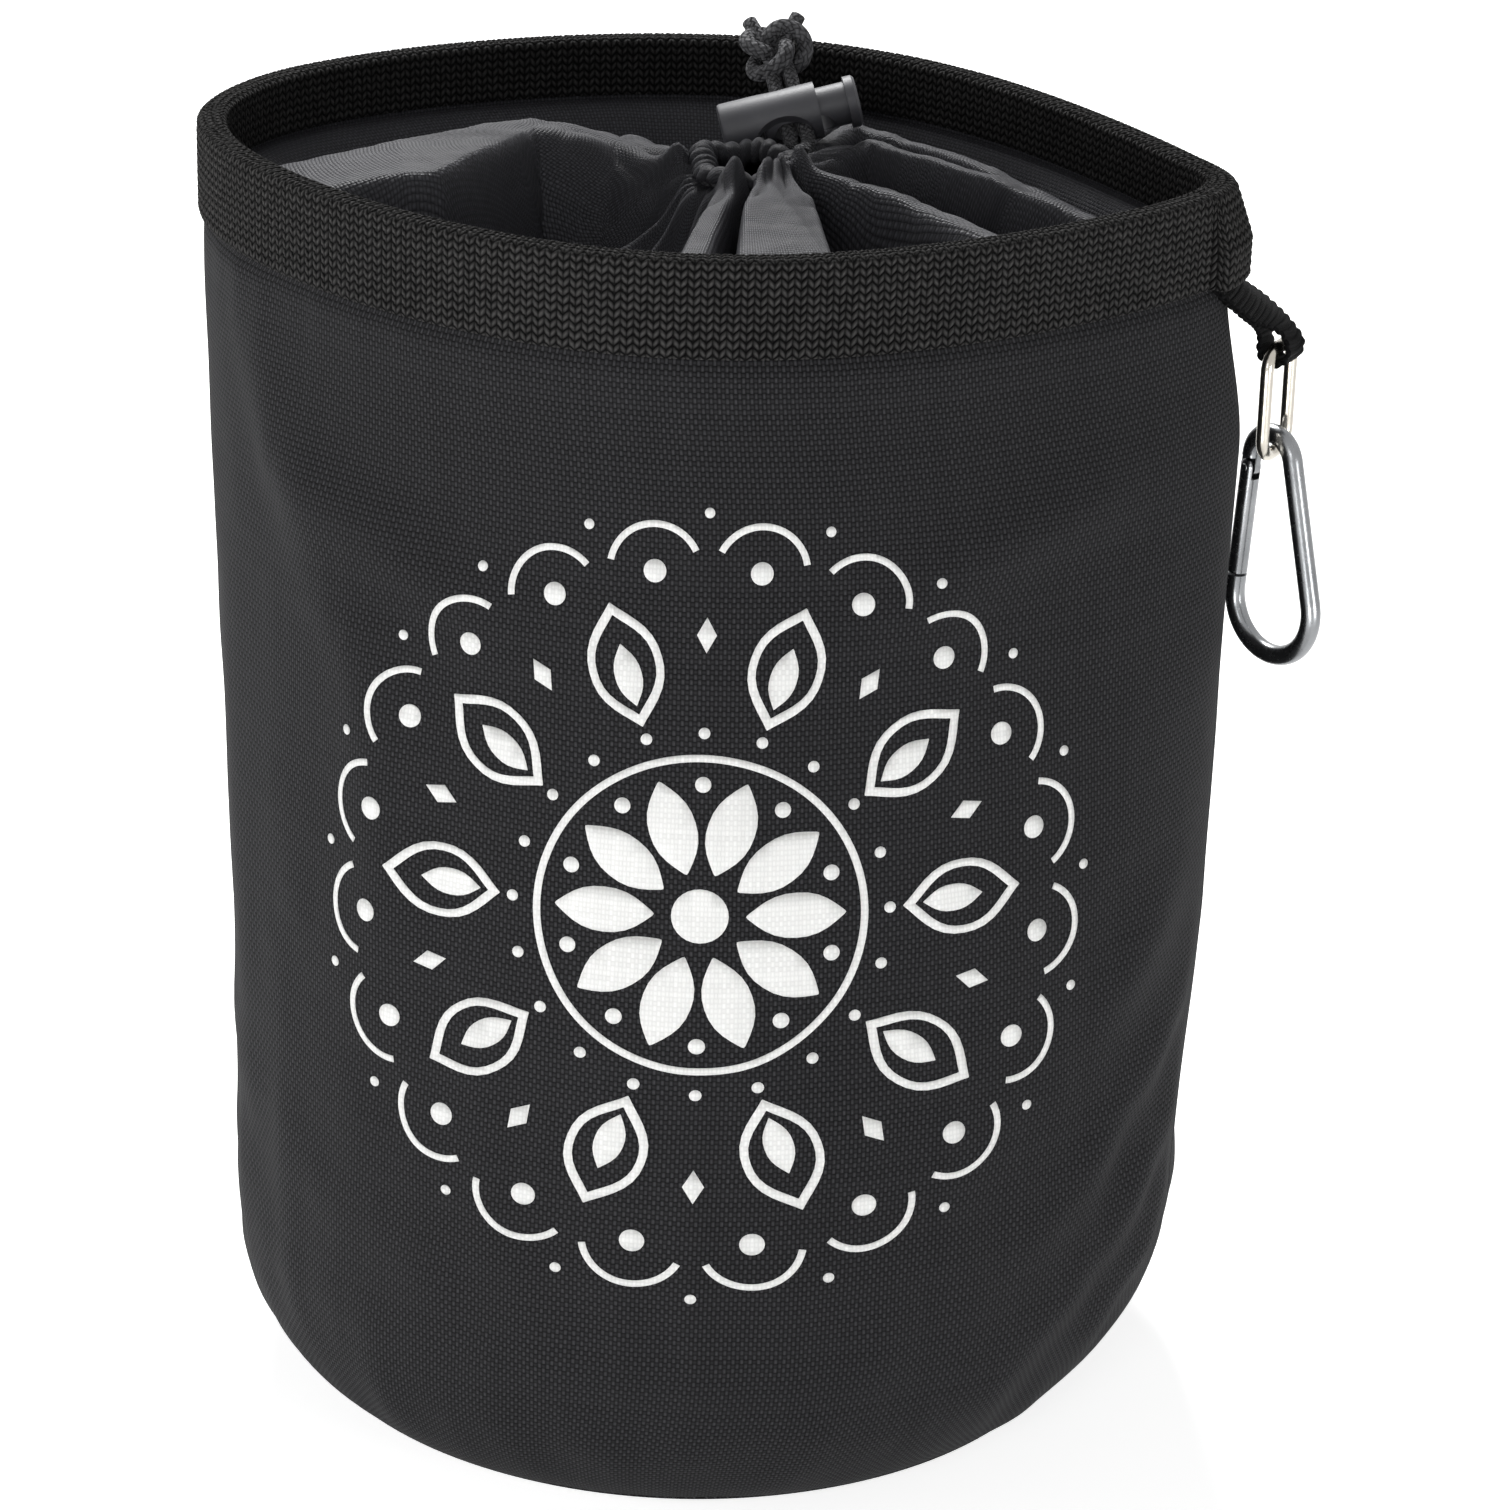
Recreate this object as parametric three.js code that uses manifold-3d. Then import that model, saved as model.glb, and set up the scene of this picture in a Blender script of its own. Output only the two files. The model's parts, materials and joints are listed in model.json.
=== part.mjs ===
// Drawstring peg bag: a round-based cloth bag with a bound rim, a gathered collar, a cord lock and a hook.
// Millimetres, +Z up. The origin is the middle of the base on the ground, +X points to the side seam and
// the hook, and -Y is the front.
import * as THREE from 'three';
import { mergeVertices } from 'three/addons/utils/BufferGeometryUtils.js';
import Module from 'manifold-3d';

const wasm = await Module();
wasm.setup();

// Outside of the cloth wall, from the rounded bottom edge to the mouth
const bagHeight = 257.5;
const bodyRadius = 97.6;
const bottomRound = 43.5;
const baseFlatRadius = 70;
const mouthFarReach = 102.8;
const mouthSeamReach = 101.4;
const mouthHalfDepth = 78.6;
// The wall swells a little at the seam's side, most at this height
const seamBelly = 2.2;
const bellyHeight = 105;
const frontForm = { pinch: 0.31, slant: 0.11, skew: 0.03 };
const backForm = { pinch: 0.4, slant: 0.2, skew: 0.13 };
const seamDraw = 5;
const seamDrawLength = 36;

// Cloth, tape and webbing
const wallThick = 1;
const collarThick = 0.6;
const tapeThick = 0.5;
const bindingThick = 1.6;
const tabThick = 0.9;
const layerGap = 0.3;

// Seams
const baseSeamTurn = THREE.MathUtils.degToRad(66);
const baseTapeWidth = 14;
const sideTapeTurn = THREE.MathUtils.degToRad(40);
const panelEndGap = 0.35;

// Rim binding
const bindingOuterLeg = 18.5;
const bindingInnerLeg = 12;
const bindingEdge = 1.5;
const lapStep = 0.8;
const lapFront = 10;
const lapBack = 13;
const lapEdge = 0.3;

// Collar and drawstring
const gatherCentre = new THREE.Vector2(3, 3);
const gatherDrop = 5.5;
const gatherRadius = 9;
const collarSag = 1.5;
const collarHollow = 20;
// Main folds of the collar: bearing at the gathers and at the rim, crest above the straight line between them, and
// spread, in degrees and millimetres
const collarFolds = [
  { from: 155, to: 194, crest: 8, spread: 20 },
  { from: 268, to: 270, crest: 3, spread: 7 },
  { from: 304, to: 287, crest: 5, spread: 11 },
  { from: 336, to: 330, crest: 5, spread: 9 },
  { from: 392, to: 357, crest: 5, spread: 13 },
  { from: 62, to: 30, crest: -4, spread: 13 },
  { from: 112, to: 98, crest: -3.4, spread: 18 },
];
const cordDiameter = 3;

// Cord lock, along its own axis from the closed end of the barrel
const lockYaw = THREE.MathUtils.degToRad(17);
const lockTilt = THREE.MathUtils.degToRad(14);
const lockRoll = THREE.MathUtils.degToRad(57);
const lockOffset = new THREE.Vector3(-8, 15.5, 1.6);
const barrelLength = 19.5;
const barrelDiameter = 11.2;
const barrelBore = 8.8;
const barrelFloor = 1.8;
const holeStart = 6;
const holeLength = 11.6;
const holeWidth = 4.4;
const scallopRadius = 9.5;
const scallopDepth = 2.2;
const plungerDiameter = 8.4;
const plungerLength = 19.4;
const plungerHead = 10.2;
const plungerHeadThick = 2.2;
const plungerOut = 8.1;
const plungerToe = 2;
const lockSpringDiameter = 6.2;
const lockSpringWire = 0.5;
const lockSpringCurls = 5;
const strandGap = 0.4;
const tailBelow = 8;
const tailAbove = 11.8;
const knotLength = 10.5;
const knotWidth = 9.5;
const knotEnd = 5.5;

// Hanger tab, oval link and spring hook
const hookYaw = THREE.MathUtils.degToRad(18);
const tabWidth = 12;
const tabFoldWidth = 7;
const tabRootDepth = 10;
const tabDrop = 16.5;
const tabAside = 10;
const hookClear = 2.4;
const linkWire = 2.6;
const linkLength = 24.2;
const linkCorner = 4;
const linkClear = 0.8;
const foldClear = 1.4;
const hookPlaneYaw = THREE.MathUtils.degToRad(39);
const hookRod = 4;
const hookLength = 49;
const hookTopRadius = 5.6;
const hookBottomRadius = 10.5;
const hookLean = 2.6;
const pivotDrop = 3;
const noseRise = 2.5;
const tongueThick = 1.6;
const pinDiameter = 1.6;
const pinClear = 0.12;
const runClear = 0.3;
const gateSpringDiameter = 1.9;
const gateSpringWire = 0.4;
const gateSpringCurls = 6;
const gateSpringLength = 6.6;

// Facets
const farColumns = 34;
const cordSides = 8;
const rodSides = 10;
const curlSteps = 8;
const curlSides = 5;

const bindingFoot = bagHeight - bindingOuterLeg;
const innerFoot = bagHeight - bindingInnerLeg;
const bindingCeiling = bagHeight - bindingThick;
const wallTop = bindingCeiling - layerGap;
const cordRadius = cordDiameter / 2;
// Half of the width that the tab's root and the side seam's tape take up
const seamRoom = tabWidth / 2 + 3 * layerGap;

const lerp = THREE.MathUtils.lerp;
const ease = (low, high, value) => THREE.MathUtils.smoothstep(value, low, high);
const polar = (angle, radius) => new THREE.Vector2(Math.cos(angle) * radius, Math.sin(angle) * radius);
const steps = (count, low, high) => Array.from({ length: count + 1 }, (_, i) => lerp(low, high, i / count));
const up = new THREE.Vector3(0, 0, 1);

const bag = new THREE.Group();

const oxford = new THREE.MeshStandardMaterial({ color: 0x2d2e30, roughness: 0.9, metalness: 0 });
const nylon = new THREE.MeshStandardMaterial({ color: 0x4a4c51, roughness: 0.6, metalness: 0 });
const webbing = new THREE.MeshStandardMaterial({ color: 0x1d1d1e, roughness: 0.95, metalness: 0 });
const tape = new THREE.MeshStandardMaterial({ color: 0x17181a, roughness: 0.9, metalness: 0 });
const braid = new THREE.MeshStandardMaterial({ color: 0x3a3a3c, roughness: 0.9, metalness: 0 });
const plastic = new THREE.MeshStandardMaterial({ color: 0x5c5c62, roughness: 0.55, metalness: 0 });
const nickel = new THREE.MeshStandardMaterial({ color: 0xc9c2b6, roughness: 0.25, metalness: 1 });
const steel = new THREE.MeshStandardMaterial({ color: 0xb4b7ba, roughness: 0.2, metalness: 1 });

function part(name, geometry, material, parent = bag) {
  const mesh = new THREE.Mesh(geometry, material);
  mesh.name = name;
  parent.add(mesh);
}

// A closed body from points and triangles, with its faces turned outwards
function body(points, triangles) {
  let volume = 0;
  for (const [a, b, c] of triangles) {
    volume += points[a].dot(new THREE.Vector3().crossVectors(points[b], points[c]));
  }
  const index = triangles.flatMap(([a, b, c]) => (volume < 0 ? [a, c, b] : [a, b, c]));
  const geometry = new THREE.BufferGeometry().setFromPoints(points);
  geometry.setIndex(index);
  return geometry;
}

// Joins rings of equal count, either end to end in a loop or with both ends capped
function skin(rings, loop = false) {
  const count = rings[0].length;
  const points = rings.flat();
  const triangles = [];
  const spans = loop ? rings.length : rings.length - 1;
  for (let i = 0; i < spans; i++) {
    const near = i * count;
    const far = ((i + 1) % rings.length) * count;
    for (let j = 0; j < count; j++) {
      const next = (j + 1) % count;
      triangles.push([near + j, near + next, far + next], [near + j, far + next, far + j]);
    }
  }
  if (!loop) {
    for (const [first, turned] of [[0, true], [points.length - count, false]]) {
      const hub = points.length;
      const middle = new THREE.Vector3();
      points.slice(first, first + count).forEach((p) => middle.addScaledVector(p, 1 / count));
      points.push(middle);
      for (let j = 0; j < count; j++) {
        const next = (j + 1) % count;
        triangles.push(turned ? [hub, first + next, first + j] : [hub, first + j, first + next]);
      }
    }
  }
  return body(points, triangles);
}

// A sheet between two grids of points, closed along its edges, or all round where it runs in a loop
function shell(front, back, around = false) {
  const rows = front.length;
  const columns = front[0].length;
  const points = [...front.flat(), ...back.flat()];
  const other = rows * columns;
  const triangles = [];
  const quad = (a, b, c, d) => triangles.push([a, b, c], [a, c, d]);
  const spans = around ? columns : columns - 1;
  for (let j = 0; j < spans; j++) {
    const next = (j + 1) % columns;
    for (let i = 0; i < rows - 1; i++) {
      const near = i * columns;
      const far = near + columns;
      quad(near + j, near + next, far + next, far + j);
      quad(other + near + j, other + far + j, other + far + next, other + near + next);
    }
    const last = (rows - 1) * columns;
    quad(j, other + j, other + next, next);
    quad(last + j, last + next, other + last + next, other + last + j);
  }
  if (!around) {
    for (let i = 0; i < rows - 1; i++) {
      const near = i * columns;
      const far = near + columns;
      const end = columns - 1;
      quad(near, far, other + far, other + near);
      quad(near + end, other + near + end, other + far + end, far + end);
    }
  }
  return body(points, triangles);
}

// A sheet of even thickness about a grid of points on its middle surface
function cloth(grid, thickness, around = false) {
  const rows = grid.length;
  const columns = grid[0].length;
  const at = (i, j) => {
    const row = grid[THREE.MathUtils.clamp(i, 0, rows - 1)];
    return around ? row[(j + columns) % columns] : row[THREE.MathUtils.clamp(j, 0, columns - 1)];
  };
  const face = (side) => grid.map((row, i) => row.map((point, j) => {
    const along = at(i + 1, j).clone().sub(at(i - 1, j));
    const across = at(i, j + 1).clone().sub(at(i, j - 1));
    const normal = along.cross(across).normalize();
    return point.clone().addScaledVector(normal, side * thickness / 2);
  }));
  return shell(face(1), face(-1), around);
}

// A round bar along a curve
function tube(curve, radius, sides, count, loop = false) {
  const frames = curve.computeFrenetFrames(count, loop);
  const rings = [];
  for (let i = 0; i < (loop ? count : count + 1); i++) {
    const centre = curve.getPointAt(i / count);
    rings.push(steps(sides, 0, 2 * Math.PI).slice(0, sides).map((angle) => centre.clone()
      .addScaledVector(frames.normals[i], Math.cos(angle) * radius)
      .addScaledVector(frames.binormals[i], Math.sin(angle) * radius)));
  }
  return skin(rings, loop);
}

function solid(geometry) {
  const bare = geometry.clone();
  bare.deleteAttribute('normal');
  bare.deleteAttribute('uv');
  const merged = mergeVertices(bare, 1e-4);
  return new wasm.Manifold(new wasm.Mesh({
    numProp: 3,
    vertProperties: Float32Array.from(merged.attributes.position.array),
    triVerts: Uint32Array.from(merged.index.array),
  }));
}

function plain(manifold) {
  const mesh = manifold.getMesh();
  const geometry = new THREE.BufferGeometry();
  geometry.setAttribute('position', new THREE.BufferAttribute(mesh.vertProperties, 3));
  geometry.setIndex(new THREE.BufferAttribute(mesh.triVerts, 1));
  return geometry;
}

function cut(geometry, ...tools) {
  return plain(tools.reduce((left, tool) => left.subtract(solid(tool)), solid(geometry)));
}

function join(...geometries) {
  return plain(geometries.map(solid).reduce((all, next) => all.add(next)));
}

// A turned piece about local X, from [distance along X, radius] pairs that start and end on the axis
function turned(profile, sides) {
  const points = profile.map(([along, radius]) => new THREE.Vector2(radius, along));
  return new THREE.LatheGeometry(points, sides).rotateZ(-Math.PI / 2);
}

// Plan of the wall at a height: round at the bottom, and a pointed oval at the mouth
function planPoint(turn, z) {
  const rise = ease(bottomRound, bagHeight, z);
  const draw = seamDraw * ease(bindingFoot - seamDrawLength, bindingFoot, z);
  const belly = seamBelly * ease(bottomRound, bellyHeight, z) * (1 - ease(bellyHeight, bindingFoot, z));
  const seamReach = lerp(bodyRadius, mouthSeamReach, rise) + belly - draw;
  const farReach = lerp(bodyRadius, mouthFarReach, rise);
  const towardsSeam = Math.cos(turn);
  const reach = lerp(farReach, seamReach, (1 + towardsSeam) / 2);
  const depth = lerp(bodyRadius, mouthHalfDepth, rise);
  const form = Math.sin(turn) > 0 ? backForm : frontForm;
  const pinch = rise * (form.pinch + form.slant * towardsSeam) * towardsSeam ** 2;
  const skew = rise * form.skew * towardsSeam;
  return new THREE.Vector2(reach * towardsSeam, depth * Math.sin(turn) * (1 - pinch) * (1 - skew));
}

// A point of the wall above the rounded edge, moved out of its outside face by the given amount
function wallPoint(turn, z, out) {
  const step = 1e-3;
  const along = planPoint(turn + step, z).sub(planPoint(turn - step, z)).normalize();
  const point = planPoint(turn, z);
  return new THREE.Vector3(point.x + along.y * out, point.y - along.x * out, z);
}

// A point of the rounded bottom edge: dip runs from 0 at its top to a right angle at the flat base
function bottomProfile(dip, out) {
  const across = bodyRadius - baseFlatRadius;
  const normal = new THREE.Vector2(Math.cos(dip) / across, -Math.sin(dip) / bottomRound).normalize();
  const radius = baseFlatRadius + across * Math.cos(dip);
  return new THREE.Vector2(radius, bottomRound * (1 - Math.sin(dip))).addScaledVector(normal, out);
}

function bottomPoint(turn, dip, out) {
  const profile = bottomProfile(dip, out);
  const plan = polar(turn, profile.x);
  return new THREE.Vector3(plan.x, plan.y, profile.y);
}

// The turn near the side seam at which the wall, moved out by the given amount, reaches a given Y
function seamTurn(y, z, out = 0) {
  let low = -Math.PI / 3;
  let high = Math.PI / 3;
  for (let i = 0; i < 40; i++) {
    const middle = (low + high) / 2;
    if (wallPoint(middle, z, out).y < y) low = middle;
    else high = middle;
  }
  return low;
}

// Turns of the wall's columns at a height, from the seam once round: close together about the seam, where the
// columns keep their distance from it, and even elsewhere. Every layer at the rim has the same columns.
const seamColumns = [
  -18, -13, -lapFront - lapEdge, -lapFront, -seamRoom, -seamRoom / 2, -panelEndGap / 2,
  panelEndGap / 2, seamRoom / 2, seamRoom, lapBack - 3.5, lapBack, lapBack + lapEdge, 19,
];

function wallTurns(z) {
  const near = seamColumns.map((y) => seamTurn(y, z));
  const half = near.length / 2;
  const away = steps(farColumns + 1, near.at(-1), near[0] + 2 * Math.PI).slice(1, -1);
  return [...near.slice(half), ...away, ...near.slice(0, half).map((turn) => turn + 2 * Math.PI)];
}

// How far along the rounded edge an arc of given length reaches from the base seam
const edgeTurn = (length) => length / Math.hypot((bodyRadius - baseFlatRadius) * Math.sin(baseSeamTurn),
  bottomRound * Math.cos(baseSeamTurn));
const tapeSpread = edgeTurn(baseTapeWidth / 2);
const sideTapeDips = steps(2, sideTapeTurn, 0);

function makeBodyPanel() {
  const dips = [baseSeamTurn, baseSeamTurn - tapeSpread, ...sideTapeDips];
  const heights = [...steps(6, bottomRound, bindingFoot).slice(1), wallTop];
  const face = (out) => [
    ...dips.map((dip) => wallTurns(bottomRound).map((turn) => bottomPoint(turn, dip, out))),
    ...heights.map((z) => wallTurns(z).map((turn) => wallPoint(turn, z, out))),
  ];
  part('body_panel', shell(face(0), face(-wallThick)), oxford);
}

function makeBasePanel() {
  const dips = [Math.PI / 2, baseSeamTurn + tapeSpread, baseSeamTurn + edgeTurn(layerGap)];
  const ring = (dip, out) => wallTurns(bottomRound).map((turn) => bottomPoint(turn, dip, out));
  const outside = dips.map((dip) => ring(dip, 0));
  const inside = dips.map((dip) => ring(dip, -wallThick)).reverse();
  part('base_panel', skin([...outside, ...inside]), oxford);
}

// Tapes that cover the seams inside
function makeSeamTapes() {
  const top = -wallThick - layerGap;
  const dips = [baseSeamTurn - tapeSpread, baseSeamTurn, baseSeamTurn + tapeSpread];
  const strip = (turn) => [
    ...dips.map((dip) => bottomPoint(turn, dip, top)),
    ...dips.map((dip) => bottomPoint(turn, dip, top - tapeThick)).reverse(),
  ];
  part('base_seam_tape', skin(wallTurns(bottomRound).map(strip), true), tape);

  const places = seamColumns.filter((y) => Math.abs(y) <= seamRoom);
  const turns = (z) => places.map((y) => seamTurn(y, z));
  const face = (out) => [
    ...sideTapeDips.map((dip) => turns(bottomRound).map((turn) => bottomPoint(turn, dip, out))),
    ...steps(6, bottomRound, bindingFoot).slice(1)
      .map((z) => turns(z).map((turn) => wallPoint(turn, z, out))),
  ];
  part('side_seam_tape', shell(face(top), face(top - tapeThick)), tape);
}

// The webbing folded over the rim. Its lapped ends cover the root of the hanger tab.
function makeRimBinding() {
  const rampHalf = seamRoom + 3 * tabThick + 2;
  const rootTop = bindingFoot + tabRootDepth + layerGap;
  const inner = -(wallThick + collarThick + 2 * layerGap);
  const lean = bindingEdge * (1 - Math.SQRT1_2);
  const section = (turn) => {
    const foot = planPoint(turn, bindingFoot);
    const y = foot.x > 0 ? foot.y : Infinity;
    const stack = 2 * (tabThick + layerGap) * (1 - ease(seamRoom, rampHalf, Math.abs(y)));
    const lap = y > -lapFront - lapEdge / 2 && y < lapBack + lapEdge / 2 ? lapStep : 0;
    const under = layerGap + stack;
    const over = under + bindingThick + lap;
    const crown = layerGap + bindingThick + lap;
    const outline = [
      [over, bindingFoot],
      [over, rootTop],
      [crown, bagHeight - bindingEdge],
      [crown - lean, bagHeight - lean],
      [crown - bindingEdge, bagHeight],
      [inner - bindingThick + bindingEdge, bagHeight],
      [inner - bindingThick + lean, bagHeight - lean],
      [inner - bindingThick, bagHeight - bindingEdge],
      [inner - bindingThick, innerFoot],
      [inner, innerFoot],
      [inner, bindingCeiling],
      [layerGap, bindingCeiling],
      [under, rootTop],
      [under, bindingFoot],
    ];
    return outline.map(([out, z]) => wallPoint(turn, z, out));
  };
  const rings = wallTurns(bindingFoot).map(section);
  part('rim_binding', skin(rings, true), webbing);
}

const cordHeight = bagHeight - gatherDrop;
const gatherPoint = (turn, radius, z) => {
  const plan = polar(turn, radius).add(gatherCentre);
  return new THREE.Vector3(plan.x, plan.y, z);
};

// How high the folds lift the collar out of its hollows at a bearing round the gathers
function foldLift(bearing, share) {
  return Math.max(...collarFolds.map(({ from, to, crest, spread }) => {
    const away = THREE.MathUtils.radToDeg(bearing) - lerp(from, to, share);
    const off = THREE.MathUtils.euclideanModulo(away + 180, 360) - 180;
    return (collarHollow + crest) * Math.exp(-((off / spread) ** 2));
  }));
}

// The gathered collar: between the rim and the middle it stands in folds and hangs in hollows, and it is hemmed
// round the drawstring
function makeCollar() {
  const channel = cordRadius + layerGap + collarThick / 2;
  const out = -(wallThick + layerGap + collarThick / 2);
  const floor = cordHeight - channel;
  const turns = wallTurns(bindingFoot);
  const rows = [
    turns.map((turn) => wallPoint(turn, wallTop, out)),
    turns.map((turn) => wallPoint(turn, innerFoot, out)),
    turns.map((turn) => wallPoint(turn, innerFoot - collarSag, out - layerGap)),
  ];
  const rim = rows[2];
  const bearing = rim.map((p) => Math.atan2(p.y - gatherCentre.y, p.x - gatherCentre.x));
  const span = rim.map((p) => Math.hypot(p.x - gatherCentre.x, p.y - gatherCentre.y));
  for (const share of [0.86, 0.68, 0.5, 0.32, 0.18, 0.08]) {
    rows.push(turns.map((turn, j) => {
      const distance = lerp(gatherRadius + channel, span[j], share);
      const swell = Math.sin(Math.PI * share ** 0.85) ** 0.8;
      const level = lerp(floor, innerFoot - collarSag, share) + swell * (foldLift(bearing[j], share) - collarHollow);
      return gatherPoint(bearing[j], distance, level);
    }));
  }
  for (const angle of steps(4, 1.5 * Math.PI, 0.5 * Math.PI)) {
    const hem = polar(angle, channel);
    rows.push(bearing.map((turn) => gatherPoint(turn, gatherRadius + hem.x, cordHeight + hem.y)));
  }
  part('collar', cloth(rows, collarThick, true), nylon);
}

class Circle extends THREE.Curve {
  getPoint(share) {
    return gatherPoint(share * 2 * Math.PI, gatherRadius, cordHeight);
  }
}

// A helix along local X
class Helix extends THREE.Curve {
  constructor(radius, start, length, curls) {
    super();
    Object.assign(this, { radius, start, length, curls });
  }

  getPoint(share) {
    const ring = polar(share * this.curls * 2 * Math.PI, this.radius);
    return new THREE.Vector3(this.start + share * this.length, ring.x, ring.y);
  }
}

function makeSpring(name, diameter, wire, start, length, curls, parent) {
  const helix = new Helix((diameter - wire) / 2, start + wire / 2, length - wire, curls);
  const points = helix.getSpacedPoints(curls * curlSteps * 2);
  let least = Infinity;
  points.forEach((p, i) => points.slice(i + curlSteps).forEach((q) => {
    least = Math.min(least, p.distanceTo(q) - wire);
  }));
  console.log(`${name} least gap between curls ${least.toFixed(2)} mm`);
  part(name, tube(helix, wire / 2, curlSides, curls * curlSteps), steel, parent);
}

// The lock's axis runs along the barrel, and the cord passes through it along the hole's axis
const lockAxis = new THREE.Vector3(Math.cos(lockYaw) * Math.cos(lockTilt), Math.sin(lockYaw) * Math.cos(lockTilt),
  Math.sin(lockTilt));
const holeAxis = new THREE.Vector3().crossVectors(up, lockAxis).normalize()
  .applyAxisAngle(lockAxis, Math.PI / 2 - lockRoll);
const lock = new THREE.Group();
lock.position.set(gatherCentre.x, gatherCentre.y, cordHeight).add(lockOffset);
lock.quaternion.setFromRotationMatrix(new THREE.Matrix4().makeBasis(lockAxis, holeAxis,
  new THREE.Vector3().crossVectors(lockAxis, holeAxis)));
bag.add(lock);

// A round-ended slot across the lock, and the scooped mouths at its two ends
function cordSlot(start) {
  const half = holeWidth / 2;
  const slot = new THREE.Shape();
  slot.absarc(start + half, 0, half, 0.5 * Math.PI, 1.5 * Math.PI);
  slot.absarc(start + holeLength - half, 0, half, -0.5 * Math.PI, 0.5 * Math.PI);
  const depth = 2 * barrelDiameter;
  return new THREE.ExtrudeGeometry(slot, { depth, bevelEnabled: false, curveSegments: 5 })
    .translate(0, 0, -depth / 2).rotateX(-Math.PI / 2);
}

function scallop(start, side) {
  const reach = barrelDiameter / 2 - scallopDepth + scallopRadius;
  return new THREE.CylinderGeometry(scallopRadius, scallopRadius, 2 * barrelDiameter, 36)
    .rotateX(Math.PI / 2).translate(start + holeLength / 2, side * reach, 0);
}

function makeCordLock() {
  const bevel = 0.5;
  const outer = barrelDiameter / 2;
  const barrel = turned([[0, 0], [0, outer - bevel], [bevel, outer], [barrelLength, outer],
    [barrelLength, barrelBore / 2], [barrelFloor, barrelBore / 2], [barrelFloor, 0]], 24);
  part('cord_lock_barrel', cut(barrel, cordSlot(holeStart), scallop(holeStart, 1), scallop(holeStart, -1)),
    plastic, lock);

  const shaft = plungerDiameter / 2;
  const head = plungerHead / 2;
  const tip = plungerOut + plungerLength;
  const plunger = turned([[plungerOut, 0], [plungerOut, shaft - bevel], [plungerOut + bevel, shaft],
    [tip - plungerHeadThick, shaft], [tip - plungerHeadThick, head], [tip - bevel, head],
    [tip, head - bevel], [tip, 0]], 24);
  part('cord_lock_plunger', cut(plunger, cordSlot(plungerOut + plungerToe)), plastic, lock);

  const room = plungerOut - barrelFloor - 2 * layerGap;
  makeSpring('cord_lock_spring', lockSpringDiameter, lockSpringWire, barrelFloor + layerGap, room,
    lockSpringCurls, lock);
}

// The cord in the hem, its two ends through the lock, and their knot
function makeDrawstring() {
  part('drawstring_loop', tube(new Circle(), cordRadius, cordSides, 36, true), braid);
  const pair = (cordDiameter + strandGap) / 2;
  const middle = holeStart + holeLength - cordDiameter - strandGap;
  for (const [name, side] of [['drawstring_tail_left', -1], ['drawstring_tail_right', 1]]) {
    const along = middle + side * pair;
    const line = new THREE.LineCurve3(new THREE.Vector3(along, -tailBelow, 0),
      new THREE.Vector3(along, tailAbove, 0));
    part(name, tube(line, cordRadius, cordSides, 3), braid, lock);
  }
  const foot = tailAbove + layerGap;
  const knot = new THREE.SphereGeometry(1, 14, 10).scale(knotWidth / 2, knotLength / 2, knotWidth / 2.4)
    .translate(middle, foot + knotLength / 2, 0);
  const ends = [-1, 1].map((side) => {
    const root = new THREE.Vector3(middle, foot + knotLength / 2, 0);
    const reach = new THREE.Vector3(side * 0.8, 0.6, 0).setLength(knotLength / 2 + knotEnd);
    return tube(new THREE.LineCurve3(root, root.clone().add(reach)), cordRadius, cordSides, 2);
  });
  part('drawstring_knot', join(knot, ...ends), braid, lock);
}

// The spring hook in its own plane: local X points out of the bag, local Y up, and the top bend is at the origin
const hookPlane = new THREE.Vector3(Math.cos(hookPlaneYaw), -Math.sin(hookPlaneYaw), 0);
const hookTop = new THREE.Vector2(0, -hookTopRadius);
const hookBottom = new THREE.Vector2(hookLean, hookRod + hookBottomRadius - hookLength);
// Bearing of the straight sides' outward normals: the two bends share a tangent line on each side
const hookAxis = hookBottom.clone().sub(hookTop);
const flare = Math.acos((hookTopRadius - hookBottomRadius) / hookAxis.length());
const spineNormal = hookAxis.angle() + flare;
const gateNormal = hookAxis.angle() - flare;
const gateTop = polar(gateNormal, hookTopRadius).add(hookTop);
const gateFoot = polar(gateNormal, hookBottomRadius).add(hookBottom);
const gateWay = gateFoot.clone().sub(gateTop).normalize();
const pivot = gateTop.clone().addScaledVector(gateWay, pivotDrop);
const nose = gateFoot.clone().addScaledVector(gateWay, -noseRise);
const gateTurn = gateWay.angle();

// The tab leaves the binding's foot and hangs down, out and to the back of the seam, round the link's top bar. It
// reaches out until the hook's gate side and lower bend hang clear of the wall beside them.
const hookOut = new THREE.Vector3(Math.cos(hookYaw), -Math.sin(hookYaw), 0);
const hookAcross = new THREE.Vector3(Math.sin(hookYaw), Math.cos(hookYaw), 0);
const tabFoot = wallPoint(0, bindingFoot, 0);
const linkBarReach = linkLength - linkWire;
const foldHeight = bindingFoot - tabDrop;
const hookHeight = foldHeight - linkBarReach + linkWire / 2 + runClear + hookRod / 2;
const hookRoom = hookRod / 2 + hookClear;
const gateSide = [
  ...steps(6, 0, 1).map((share) => gateTop.clone().lerp(gateFoot, share)),
  ...steps(8, gateNormal, gateNormal + Math.PI / 2).map((angle) => polar(angle, hookBottomRadius).add(hookBottom)),
];
const hookReach = Math.max(...gateSide.map((spot) => {
  const z = hookHeight + spot.y;
  const turn = seamTurn(tabAside + hookPlane.y * spot.x, z, hookRoom);
  return wallPoint(turn, z, hookRoom).x - hookPlane.x * spot.x;
}));
const foldCentre = new THREE.Vector3(hookReach, tabAside, foldHeight);
const hook = new THREE.Group();
hook.position.set(foldCentre.x, foldCentre.y, hookHeight);
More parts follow.
